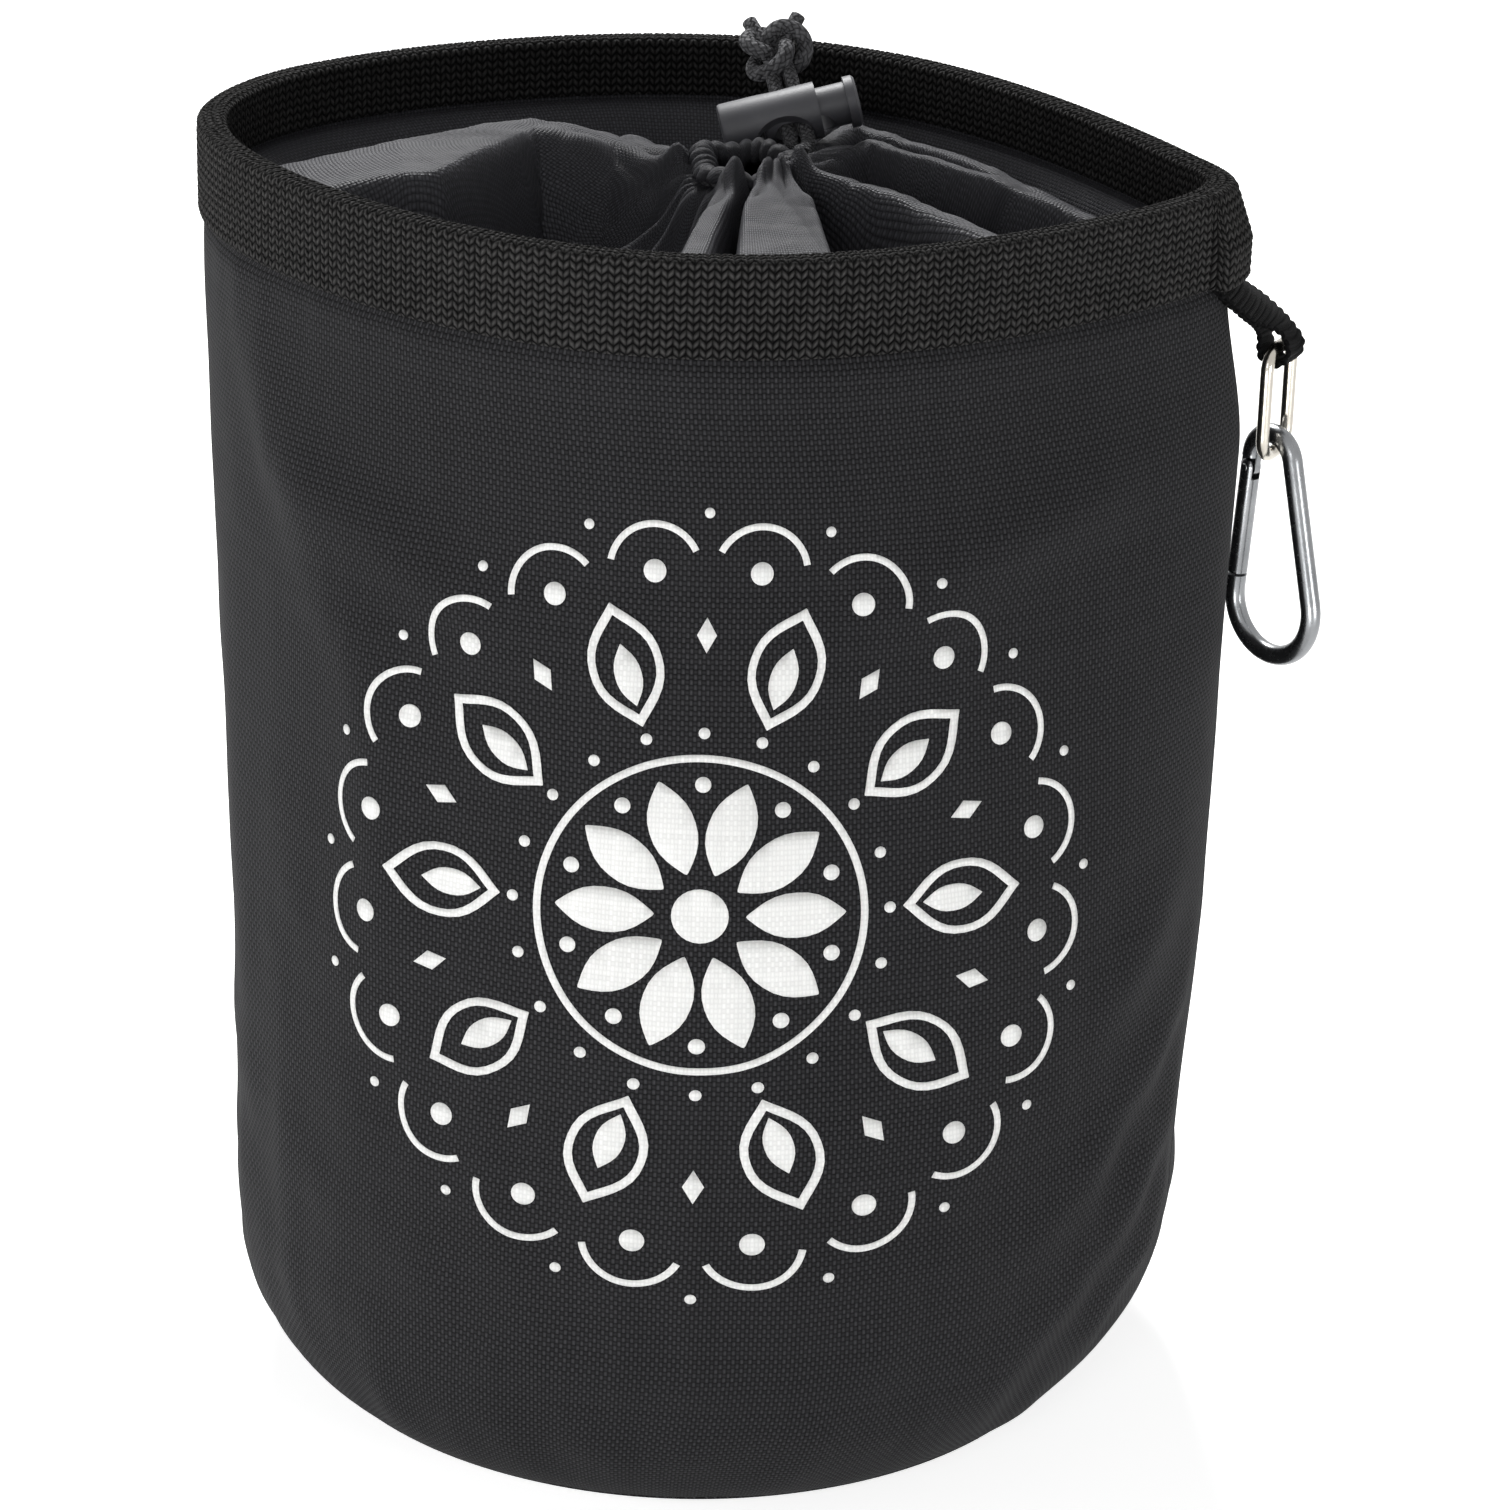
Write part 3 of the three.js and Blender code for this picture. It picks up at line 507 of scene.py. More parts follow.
cordBraid = makeCloth("cordBraid", braidGroup, {"Pitch": 1.35}, {
    "roughness": 0.8, "gloss": 0.15, "crown": 0.5, "thread": 0.45, "patch": 0.05, "patchScale": 90.0, "start": 0.0,
    "dark": (0.004, 0.004, 0.0045), "light": (0.21, 0.21, 0.22), "relief": 1.0, "depth": 0.45,
})
printInk = makeCloth("printInk", weaveGroup, {"Pitch": 0.8, "Rise": 0.98, "Sink": 0.3}, {
    "roughness": 0.75, "gloss": 0.2, "crown": 0.4, "thread": 0.2, "patch": 0.4, "patchScale": 30.0, "start": 0.0,
    "dark": (0.58, 0.58, 0.57), "light": (0.92, 0.92, 0.905), "relief": 0.4, "depth": 0.1,
})


# smooth finishes: moulded plastic and plated metal, with faint scuffs
def makeSmooth(name, look, low=0.3, high=0.7, depth=0.1):
    material, tree, shader = startMaterial(name, look["roughness"], look["metallic"])
    spot = tree.nodes.new("ShaderNodeTexCoord").outputs["Object"]
    patches, grain = (groupNode(tree, mottleGroup, spot, Scale=look[key])["Value"]
                      for key in ("patchScale", "grainScale"))
    addColour(tree, shader, patches, (low, look["dark"]), (high, look["light"]))
    rough = mathNode(tree, "MULTIPLY_ADD", grain, look["scuff"], look["roughness"] - look["scuff"] / 2)
    tree.links.new(rough, shader.inputs["Roughness"])
    addRelief(tree, shader, grain, look["relief"], depth)
    return material


lockPlastic = makeSmooth("lockPlastic", {
    "roughness": 0.5, "metallic": 0.0, "patchScale": 120.0, "grainScale": 2600.0, "scuff": 0.2, "relief": 0.25,
    "dark": (0.055, 0.055, 0.063), "light": (0.078, 0.078, 0.088),
})
nickelPlate = makeSmooth("nickelPlate", {
    "roughness": 0.2, "metallic": 1.0, "patchScale": 150.0, "grainScale": 900.0, "scuff": 0.12, "relief": 0.04,
    "dark": (0.46, 0.43, 0.38), "light": (0.58, 0.55, 0.49),
})
polishedSteel = makeSmooth("polishedSteel", {
    "roughness": 0.26, "metallic": 1.0, "patchScale": 150.0, "grainScale": 900.0, "scuff": 0.1, "relief": 0.04,
    "dark": (0.20, 0.207, 0.215), "light": (0.28, 0.287, 0.295),
})
print("materials made")

# cord lock frame: along the barrel, along the cord, and across both
lockLook = {
    "foot": (-5.0, 18.5, 253.6), "yaw": 17.0, "tilt": 14.0, "roll": 57.0,
    # how the collar gives way under it: room round its axis, reach along it, and softness of the edge
    "room": 6.5, "reach": 26.7, "give": 0.5,
}
lockYaw, lockTilt, lockRoll = (math.radians(lockLook[key]) for key in ("yaw", "tilt", "roll"))
lockAlong = Vector((math.cos(lockYaw) * math.cos(lockTilt), math.sin(lockYaw) * math.cos(lockTilt),
                    math.sin(lockTilt)))
lockThrough = Matrix.Rotation(math.pi / 2 - lockRoll, 3, lockAlong) @ Vector((0, 0, 1)).cross(lockAlong).normalized()
lockAcross = lockAlong.cross(lockThrough)
lockFoot = Vector(lockLook["foot"])
lockTurn = Matrix((lockAlong, lockThrough, lockAcross)).transposed().to_4x4()
lockPlace = Matrix.Translation(lockFoot * mm) @ lockTurn


def lockSpot(along, through, across=0.0):
    return lockFoot + lockAlong * along + lockThrough * through + lockAcross * across


# drawstring ends: out of the gathers, through the lock and into their knot
cordLook = {
    "diameter": 3.0, "sides": 16, "steps": 34, "middle": 14.2, "spread": 1.7, "holeSpots": (-7.5, -2.0, 4.0, 9.5),
    "neck": (1.5, 13.0), "knot": (1.4, 17.6),  # half the spread of the two ends, and how far past the lock's axis
}


def makeDrawstringEnd(name, side, exitSpot, endSpot, node):
    look = cordLook
    points = [Vector(exitSpot)]
    points += [lockSpot(look["middle"] + side * look["spread"], spot) for spot in look["holeSpots"]]
    points += [lockSpot(look["middle"] + side * spread, spot) for spread, spot in (look["neck"], look["knot"])]
    route = softPath(points + [lockSpot(*endSpot)], look["steps"])
    bm = roundBar(route, look["diameter"] / 2, look["sides"])
    piece = finishPiece(name, bm, cordBraid, "bag", [node])
    print(name, "route", round(runningReach(route)[-1], 1), "mm")


# the knot: a trefoil of cord drawn tight round both ends
knotLook = {"ring": 3.9, "wind": 2.0, "cord": 3.3, "steps": 120, "stretch": (1.05, 1.0, 1.2)}


def makeKnot():
    look = knotLook
    alongStretch, throughStretch, acrossStretch = look["stretch"]
    path = []
    for t in alongSteps(look["steps"], 0, 2 * math.pi)[:-1]:
        reach = look["ring"] + look["wind"] * math.cos(3 * t)
        path.append(lockSpot(cordLook["middle"] + reach * math.cos(2 * t) * alongStretch,
                             cordLook["knot"][1] + reach * math.sin(2 * t) * throughStretch,
                             look["wind"] * math.sin(3 * t) * acrossStretch))
    bm = roundBar(path, look["cord"] / 2, cordLook["sides"], loop=True)
    return finishPiece("drawstringKnot", bm, cordBraid, "bag", ["drawstring_knot"])


drawstringKnot = makeKnot()
makeDrawstringEnd("drawstringEndLeft", -1, (9.0, 13.6, 252.4), (10.8, 25.6, 1.0), "drawstring_tail_left")
makeDrawstringEnd("drawstringEndRight", 1, (12.4, 11.4, 252.6), (20.5, 23.6, 1.5), "drawstring_tail_right")
print("cord made")

# body cloth: an even grid from the base seam to the rim, with soft hollows and a few slanting folds
bodyLook = {
    "columns": 300, "arcRows": 26, "wallRows": 112, "thickness": 0.9, "around": 600.0, "clothHeight": 262.0,
    "inset": 0.25, "footCalm": 16, "seamCalm": 0.02,
    # soft hollows: lift, waves round the bag, height of a wave, and shift
    "hollows": ((0.9, 1.9, 62.0, 0.0), (0.35, 5.0, 24.0, 7.0)),
    # lumps of slack cloth, mostly low down
    "lumps": 1.0, "lumpFade": (35, 150), "lumpRest": 0.15, "lumpWaves": 8.0, "lumpHeight": 17.0, "lumpSlant": 60.0,
    # puckers and a swell below the binding
    "pucker": 0.12, "puckers": 46, "puckerDrop": 26, "swell": 1.7, "swellDrop": 95,
    # each fold: its line as share round from the seam and height, its width and its lift
    "folds": [([(0.985, 98), (0.94, 80), (0.88, 50)], 7.0, 2.6), ([(0.99, 76), (0.945, 56), (0.88, 26)], 7.0, 3.0),
              ([(0.985, 56), (0.93, 28)], 6.0, 2.2), ([(0.97, 124), (0.92, 98)], 8.0, 1.6),
              ([(0.578, 236), (0.60, 215), (0.655, 170), (0.668, 135), (0.66, 90)], 11.0, 2.6),
              ([(0.555, 170), (0.575, 110), (0.58, 60)], 9.0, 1.2),
              ([(0.61, 203), (0.66, 196), (0.71, 186)], 8.5, 3.2), ([(0.84, 192), (0.88, 200), (0.94, 208)], 8.5, 3.2)],
    "foldEnds": (0.12, 0.82),  # where a fold's lift starts and how much of a half wave it runs
}
bodyFolds = [([Vector((share * bodyLook["around"], z)) for share, z in line], width, lift)
             for line, width, lift in bodyLook["folds"]]


def foldLift(share, z):
    lift = 0.0
    start, run = bodyLook["foldEnds"]
    for points, width, high in bodyFolds:
        away, k, part, _ = nearestStretch(Vector((share * bodyLook["around"], z)), points)
        along = (k + part) / (len(points) - 1)
        lift += high * math.exp(-(away / width) ** 2) * math.sin(math.pi * (start + run * along))
    return lift


def bodyOut(share, z):
    look = bodyLook
    turn = 2 * math.pi * share
    soft = sum(lift * roundNoise(turn, waves, z / tall + shift) for lift, waves, tall, shift in look["hollows"])
    slack = look["lumps"] * (1 - ease(*look["lumpFade"], z)) + look["lumpRest"]
    soft += slack * spotNoise(math.cos(turn) * look["lumpWaves"] + z / look["lumpSlant"],
                              math.sin(turn) * look["lumpWaves"], z / look["lumpHeight"] + 3.0)
    pucker = look["pucker"] * math.sin(turn * look["puckers"] + 3 * math.sin(turn * 5))
    pucker *= ease(bindingFoot - look["puckerDrop"], bindingFoot, z)
    calm = ease(0, look["footCalm"], z) * (1 - ease(bindingFoot - 4, bindingFoot + 2, z))
    calm *= ease(0.0, look["seamCalm"], share) * ease(0.0, look["seamCalm"], 1 - share)
    swell = look["swell"] * ease(bindingFoot - look["swellDrop"], bindingFoot - 6, z)
    swell *= 1 - ease(bindingFoot - 3, bindingFoot + 1, z)
    return (soft + pucker + foldLift(share, z)) * calm + swell - look["inset"]


def makeBody():
    columns = bodyLook["columns"]
    bottomTurns, _ = evenTurns(bagShape["bottomRound"], columns)
    table = []
    for dip in alongSteps(bodyLook["arcRows"], math.radians(bagShape["baseSeamDip"]), 0.0)[:-1]:
        z = bottomPoint(0.0, dip, 0.0).z
        table.append([bottomPoint(turn, dip, bodyOut(i / columns, z)) for i, turn in enumerate(bottomTurns)])
    for z in alongSteps(bodyLook["wallRows"], bagShape["bottomRound"], wallTop):
        turns, _ = evenTurns(z, columns)
        table.append([wallPoint(turn, z, bodyOut(i / columns, z)) for i, turn in enumerate(turns)])
    bm = bentGrid(columns, len(table) - 1, lambda i, j: table[j][i], (bodyLook["around"], bodyLook["clothHeight"]),
                  outside=lambda spot: Vector((spot.x, spot.y, 0)))
    surface = BVHTree.FromBMesh(bm)
    piece = finishPiece("bodyCloth", bm, oxfordCloth, "bag", ["body_panel"])
    giveWall(piece, bodyLook["thickness"])
    return surface


bodySurface = makeBody()
print("body made")

# printed rosette: rings of petals, dots and scallops in white ink on the front
printLook = {
    "bearing": 280.3, "height": 134.0, "aside": 97.6, "proud": 0.12, "ink": 0.1, "cell": 3.0, "half": (92.0, 80.0),
    "stretch": 1.12, "clothSpot": (300.0, 150.0), "castFrom": 0.2,
    # the rosette from its heart out: how many in a row, how far out, and their half sizes
    "heart": (5.2, 5.2), "petals": (10, 17.5, (9.2, 4.4)), "petalPoint": 0.7, "ring": (29.5, 30.9),
    "heartDots": (10, 25.2, (1.5, 1.5)), "ringDots": (20, 35.0, (1.1, 1.1)),
    "leaves": (10, 49.5, (12.0, 7.2)), "leafLine": 1.5, "leafHeart": (6.0, 2.6), "leafHeartPoint": 0.8,
    "leafHeartPlace": 0.96, "diamonds": (10, 53.5, (3.4, 1.9)), "scallops": (20, 66.0, (8.2, 9.5)), "scallopHalf": 1.25,
    "scallopDot": (2.2, 2.2), "outerDots": (20, 76.5, (1.0, 1.0)), "dotSides": 16,
}


def flatDisc(bm, centre, size, turn=0.0, point=0.0, sides=28, filled=True):
    made = bmesh.ops.create_circle(bm, cap_ends=filled, segments=sides, radius=1.0)["verts"]
    for vert in made:
        sharp = 1 - point * abs(vert.co.x) ** 3
        vert.co = Vector((vert.co.x * size[0], vert.co.y * size[1] * sharp, 0))
    bmesh.ops.rotate(bm, verts=made, cent=(0, 0, 0), matrix=Matrix.Rotation(turn, 3, "Z"))
    bmesh.ops.translate(bm, verts=made, vec=(centre[0], centre[1], 0))
    return made


def flatRing(bm, radii, start=0.0, angle=2 * math.pi, centre=(0, 0), steps=120):
    heads = [bm.verts.new((centre[0] + math.cos(start) * r, centre[1] + math.sin(start) * r, 0)) for r in radii]
    bmesh.ops.spin(bm, geom=heads + [bm.edges.new(heads)], cent=(*centre, 0), axis=(0, 0, 1), angle=angle, steps=steps,
                   use_merge=angle == 2 * math.pi)


def leafOutline(bm, centre, size, turn, line, tip=1.6, point=0.85, sides=36):
    edges = []
    for shrink in (0.0, line):
        verts = flatDisc(bm, centre, (size[0] - shrink * tip, size[1] - shrink), turn, point, sides, filled=False)
        edges += dict.fromkeys(edge for vert in verts for edge in vert.link_edges)
    bmesh.ops.bridge_loops(bm, edges=edges)


# places evenly round a circle, with the outward bearing and the size of what stands there
def rowPlaces(row, between=False):
    count, radius, size = row
    for k in range(count):
        turn = (math.pi / count if between else 0.0) + 2 * math.pi * k / count
        yield (math.cos(turn) * radius, math.sin(turn) * radius), turn, size


def makeRosette(look):
    bm = bmesh.new()
    flatDisc(bm, (0, 0), look["heart"])
    for centre, turn, size in rowPlaces(look["petals"]):
        flatDisc(bm, centre, size, turn, look["petalPoint"])
    flatRing(bm, look["ring"])
    for centre, turn, size in rowPlaces(look["heartDots"], between=True):
        flatDisc(bm, centre, size)
    for centre, turn, size in rowPlaces(look["ringDots"]):
        flatDisc(bm, centre, size, sides=look["dotSides"])
    for centre, turn, size in rowPlaces(look["leaves"]):
        leafOutline(bm, centre, size, turn, look["leafLine"])
        heart = [spot * look["leafHeartPlace"] for spot in centre]
        flatDisc(bm, heart, look["leafHeart"], turn, look["leafHeartPoint"])
    for centre, turn, size in rowPlaces(look["diamonds"], between=True):
        flatDisc(bm, centre, size, turn, sides=4)
    for centre, turn, size in rowPlaces(look["scallops"], between=True):
        flatRing(bm, size, turn - look["scallopHalf"], 2 * look["scallopHalf"], centre, 24)
        flatDisc(bm, centre, look["scallopDot"], turn)
    for centre, turn, size in rowPlaces(look["outerDots"]):
        flatDisc(bm, centre, size, sides=look["dotSides"])
    return bm


# the flat rosette is cut into small cells, then laid on the front of the body
def makePrint():
    look = printLook
    bm = makeRosette(look)
    for axis, half in enumerate(look["half"]):
        for cut in alongSteps(round(2 * half / look["cell"]), -half, half):
            spot, way = Vector(), Vector()
            spot[axis], way[axis] = cut, 1.0
            bmesh.ops.bisect_plane(bm, geom=bm.verts[:] + bm.edges[:] + bm.faces[:], dist=1e-4, plane_co=spot,
                                   plane_no=way)
    bmesh.ops.triangulate(bm, faces=bm.faces[:])
    uvLayer = bm.loops.layers.uv.new("UVMap")
    for face in bm.faces:
        for loop in face.loops:
            spot = loop.vert.co
            loop[uvLayer].uv = (spot.x * look["stretch"] + look["clothSpot"][0], spot.y + look["clothSpot"][1])
    for vert in bm.verts:
        bearing = math.radians(look["bearing"]) + vert.co.x * look["stretch"] / look["aside"]
        way = Vector((math.cos(bearing), math.sin(bearing), 0))
        start = way * look["castFrom"] + Vector((0, 0, (look["height"] + vert.co.y) * mm))
        spot, normal, _, _ = bodySurface.ray_cast(start, -way)
        vert.co = spot + normal * look["proud"] * mm
    bm.normal_update()
    if sum(face.normal.y for face in bm.faces) > 0:
        bmesh.ops.reverse_faces(bm, faces=bm.faces[:])
    giveWall(finishPiece("frontPrint", bm, printInk, "bag"), look["ink"])


makePrint()
print("print made")

# base cloth: flat in the middle, turned up to meet the body at the base seam
baseLook = {"columns": 160, "flatRows": 10, "arcRows": 8, "thickness": 0.9, "seamLap": 0.6, "clothSpot": 200.0}


def makeBase():
    look = baseLook
    columns, flatRows, arcRows = (look[key] for key in ("columns", "flatRows", "arcRows"))
    dips = alongSteps(arcRows, math.pi / 2, math.radians(bagShape["baseSeamDip"] + look["seamLap"]))

    def place(i, j):
        turn = 2 * math.pi * (i % columns) / columns
        if j <= flatRows:
            radius = bagShape["baseFlat"] * j / flatRows
            return Vector((math.cos(turn) * radius + leanAt(0), math.sin(turn) * radius, 0.0))
        return bottomPoint(turn, dips[j - flatRows], 0.0)

    def clothSpot(i, j):
        return [side + look["clothSpot"] for side in place(i, j).xy]

    bm = bentGrid(columns, flatRows + arcRows, place, clothSpot, weld=True, outside=lambda spot: Vector((0, 0, -1)))
    giveWall(finishPiece("baseCloth", bm, oxfordCloth, "bag", ["base_panel"]), look["thickness"])


makeBase()

# tapes that cover the seams inside
tapeLook = {
    "half": 6.7, "thickness": 0.45, "gap": 0.25, "baseColumns": 160, "baseRows": 6, "baseSpread": 13.0,
    "baseWidth": 14.0, "sideColumns": 8, "footRows": 12, "sideRows": 48, "sideFoot": 40.0, "sideLength": 230.0,
}


def makeTapes():
    look = tapeLook
    inside = -(bagShape["wall"] + bagShape["layerGap"] + look["gap"])
    columns, rows = look["baseColumns"], look["baseRows"]
    dips = [math.radians(bagShape["baseSeamDip"] + look["baseSpread"] * share) for share in alongSteps(rows, 1, -1)]
    bm = bentGrid(columns, rows, lambda i, j: bottomPoint(2 * math.pi * (i % columns) / columns, dips[j], inside),
                  (bodyLook["around"], look["baseWidth"]), weld=True,
                  outside=lambda spot: Vector((spot.x, spot.y, -60)))
    base = finishPiece("baseSeamTape", bm, innerTape, "bag", ["base_seam_tape"])
    arc = alongSteps(look["footRows"], math.radians(look["sideFoot"]), 0.0)
    heights = alongSteps(look["sideRows"], bagShape["bottomRound"], bindingFoot)
    places = alongSteps(look["sideColumns"], -look["half"], look["half"])

    def sidePlace(i, j):
        if j < len(arc):
            return bottomPoint(seamTurn(places[i], bagShape["bottomRound"]), arc[j], inside)
        z = heights[j - len(arc) + 1]
        return wallPoint(seamTurn(places[i], z), z, inside)

    bm = bentGrid(look["sideColumns"], look["footRows"] + look["sideRows"], sidePlace,
                  (2 * look["half"], look["sideLength"]), outside=lambda spot: Vector((1, 0, 0)))
    side = finishPiece("sideSeamTape", bm, innerTape, "bag", ["side_seam_tape"])
    for piece in (base, side):
        giveWall(piece, look["thickness"])


makeTapes()
print("base and tapes made")

# rim binding: knitted webbing folded over the rim, its ends lapped at the seam over the tab's root
bindingLook = {
    "columns": 1200, "shownRows": 62, "hiddenRows": 10, "fine": 3600, "fineHeight": 8, "length": 39.2,
    "column": 2.4, "row": 1.75, "zigzag": 0.62, "relief": 0.45, "reliefLevel": 0.6, "edgeCalm": 0.06, "wave": 0.2,
    # rounding of the rim, of the outer edges and of the inside
    "corner": 1.5, "edge": 0.6, "innerEdge": 0.4, "innerCorner": 0.3,
    # the lapped end, and the groove in front of it
    "lapStep": 1.4, "lapFront": 10.0, "lapBack": 13.0, "lapEdge": 0.4, "lapShift": 1.2,
    "groove": 1.3, "grooveAside": 0.9, "grooveWidth": 0.6,
    # room for the tab's root underneath
    "tabRoom": 8.6, "tabFade": 4.7, "tabStack": 2.4, "shoulder": 7.6,
}


# straight runs with rounded corners, as even steps of (out, z)
def roundedRun(corners, count):
    points = [Vector(corners[0][:2])]
    for before, (x, z, radius), after in zip(corners, corners[1:], corners[2:]):
        here = Vector((x, z))
        start = here + (Vector(before[:2]) - here).normalized() * radius
        end = here + (Vector(after[:2]) - here).normalized() * radius
        for share in alongSteps(6, 0, 1):
            points.append((1 - share) ** 2 * start + 2 * share * (1 - share) * here + share ** 2 * end)
    points.append(Vector(corners[-1][:2]))
    return evenPath(points, count)


def knitHeight(u, v):
    a, b = u / bindingLook["column"], v / bindingLook["row"]
    bend = 1 - abs((2 * a) % 2 - 1)
    line = (b + bend * bindingLook["zigzag"]) % 1.0
    leg = abs(math.sin(math.pi * 2 * a))
    return math.sin(math.pi * line) * (0.3 + 0.7 * leg)


# how far the binding stands out for the tab's root under it, and for its lapped end
def bindingLift(turn):
    x, y = planPoint(turn, bindingFoot)
    if x < 0:
        return 0.0, 0.0
    look = bindingLook
    stack = look["tabStack"] * (1 - ease(look["tabRoom"], look["tabRoom"] + look["tabFade"], abs(y)))
    lap = look["lapStep"] * ease(-look["lapFront"] - look["lapEdge"], -look["lapFront"], y)
    lap *= 1 - ease(look["lapBack"], look["lapBack"] + look["lapEdge"], y)
    return stack, lap - look["groove"] * math.exp(-((y + look["lapFront"] + look["grooveAside"])
                                                    / look["grooveWidth"]) ** 2)


# even steps along the outer face, so that its stitches keep their width over the lap
def bindingTurns():
    turns = alongSteps(bindingLook["fine"], 0.0, 2 * math.pi)
    points = []
    for turn in turns:
        stack, lap = bindingLift(turn)
        points.append(wallPoint(turn, bindingFoot + bindingLook["fineHeight"],
                                bagShape["layerGap"] + bagShape["binding"] + stack + lap))
    return spacedTurns(turns, points, bindingLook["columns"])


def makeBinding():
    look, shape = bindingLook, bagShape
    columns, shown, hidden = look["columns"], look["shownRows"], look["hiddenRows"]
    turns, around = bindingTurns()
    stitches = round(around / look["column"])
    shoulder, ceiling = bindingFoot + look["shoulder"], shape["height"] - shape["binding"]
    inner = -(shape["wall"] + shape["collar"] + 2 * shape["layerGap"])
    face = inner - shape["binding"]
    crown = shape["layerGap"] + shape["binding"]
    table, shifts = [], []
    for i, turn in enumerate(turns[:-1]):
        stack, lap = bindingLift(turn)
        under = shape["layerGap"] + stack
        over = under + shape["binding"] + lap
        outerEnd, innerEnd = ((under + over) / 2, bindingFoot, 0), ((face + inner) / 2, innerFoot, 0)
        outside = roundedRun([
            outerEnd, (over, bindingFoot, look["edge"]), (over, shoulder, look["edge"]),
            (crown, shape["height"], look["corner"]), (face, shape["height"], look["corner"]),
            (face, innerFoot, look["edge"]), innerEnd], shown)
        inside = roundedRun([
            innerEnd, (inner, innerFoot, look["innerEdge"]), (inner, ceiling, look["innerCorner"]),
            (shape["layerGap"], ceiling, look["innerCorner"]), (under, shoulder, look["innerCorner"]),
            (under, bindingFoot, look["innerEdge"]), outerEnd], hidden)
        wave = look["wave"] * roundNoise(turn, 4, 3.0)
        shift = look["lapShift"] if lap > look["lapStep"] / 2 else 0.0
        shifts.append(i / columns * stitches * look["column"] + shift)
        column = []
        for j, spot in enumerate(outside):
            way = (outside[min(j + 1, shown)] - outside[max(j - 1, 0)]).normalized()
            calm = ease(0, look["edgeCalm"], j / shown) * ease(0, look["edgeCalm"], 1 - j / shown)
            knit = knitHeight(shifts[-1], look["length"] * j / shown)
            relief = (knit - look["reliefLevel"]) * look["relief"] * calm
            column.append(wallPoint(turn, spot.y - way.x * relief, spot.x + way.y * relief + wave * calm))
        table.append(column + [wallPoint(turn, spot.y, spot.x) for spot in inside[1:-1]])
    rows = shown + hidden

    def clothSpot(i, j):
        return shifts[i % columns] + i // columns * stitches * look["column"], look["length"] * j / shown

    bm = bentGrid(columns, rows, lambda i, j: table[i % columns][j % rows], clothSpot, weld=True)
    finishPiece("rimBinding", bm, bindingKnit, "bag", ["rim_binding"])


makeBinding()
print("binding made")

# gathers: the ring of cloth round the drawstring, the pleats that stand round it and the creases that leave it
gatherLook = {
    "x": 3.0, "y": 3.0, "z": 252.0, "radius": 9.0, "channel": 2.1, "puff": 0.24, "sway": 0.7, "wave": 0.6,
    "frontDip": 1.5, "pleats": 23, "pleatSway": (1.3, 0.8), "pleatRound": 0.7, "ruffle": 1.7, "spread": 13.0,
    "stand": 4.6, "standWidth": 3.2, "standPlace": 1.3, "standTwist": 0.02, "standShares": (0.62, 0.38),
    "standFront": (0.45, 0.1), "crease": 0.32, "creases": 31, "creaseReach": 28, "creaseStart": 4,
}
# collar: sewn under the binding, folded and gathered round the drawstring
collarLook = {
    "columns": 420, "hemRows": 6, "spanRows": 96, "hookRows": 14, "thickness": 0.5, "rimSag": 1.5, "rimGap": 0.4,
    "hollow": 23.0, "hollowShape": (0.85, 0.8), "sag": 1.5, "sagWidth": 26, "drawnFolds": 13, "drawnLift": 3.3,
    "drawnShape": 0.7, "swirl": 0.25, "bend": 0.6, "ringShare": 0.06, "rimShare": 0.88,
    # small unevenness: lift, width and shift
    "uneven": ((0.5, 9, 4.0), (0.25, 4, 9.0)),
    # folds run into each other over heights of about one over this, counted from this level
    "merge": 0.9, "mergeLevel": 250,
    # each fold is a crest line: its place and height, then its level width and its fall to the left and to the right
    "folds": [
        [(-94, -16, 246, 4, 14, 15, 14), (-64, -6, 253, 3, 12, 19, 10), (-42, 11.5, 254.8, 2, 11, 3, 13),
         (-24, 14.5, 252, 1.5, 8, 4, 12), (-11, 10, 251, 1, 5, 4, 8)],
        [(3, -8, 252.5, 1, 4, 1, 4), (3, -26, 251.5, 1.5, 4, 1.5, 4), (4, -50, 249, 2, 6, 2, 6),
         (4, -72, 245, 2, 6, 2, 6)],
        [(11, -8, 253, 2, 4, 2, 4), (15, -24, 253.6, 6, 4, 6, 4), (21.5, -50, 250.5, 8, 6, 8, 6),
         (25, -68, 246, 8, 6, 8, 6)],
        [(14, -2, 253.5, 1, 4, 1, 5), (34, -13, 253.5, 1, 6, 1, 7), (57, -28, 251, 1, 6, 2, 8),
         (76, -40, 246, 2, 7, 3, 9)],
        [(14, 9, 252, 1, 4, 1, 4), (24, 22, 253, 1, 5, 0.5, 5), (50, 12, 250.5, 1, 6, 0.5, 5),
         (84, -4, 245, 1, 6, 1, 6)],
        [(12, 14, 252, 1, 4, 1, 4), (18, 36, 252.5, 1, 6, 1, 6), (43, 26, 250, 1, 5, 1, 6), (66, 14, 245, 1, 5, 1, 6)],
        [(2, 14, 252, 1, 4, 1, 4), (2, 40, 247, 2, 9, 2, 9), (4, 66, 245, 3, 9, 3, 9)],
    ],
}
crestLines = [(crest, [Vector(spot[:2]) for spot in crest]) for crest in collarLook["folds"]]
gatherCentre = Vector((gatherLook["x"], gatherLook["y"]))
collarFoot = innerFoot - collarLook["rimSag"]


# height and strength of a fold at a spot in plan
def crestShape(spot, crest, points):
    away, k, part, side = nearestStretch(spot, points)
    here = [lerp(p, q, part) for p, q in zip(crest[k], crest[k + 1])]
    level, fall = here[3:5] if side > 0 else here[5:7]
    return here[2], 1 - ease(level, level + fall, away)


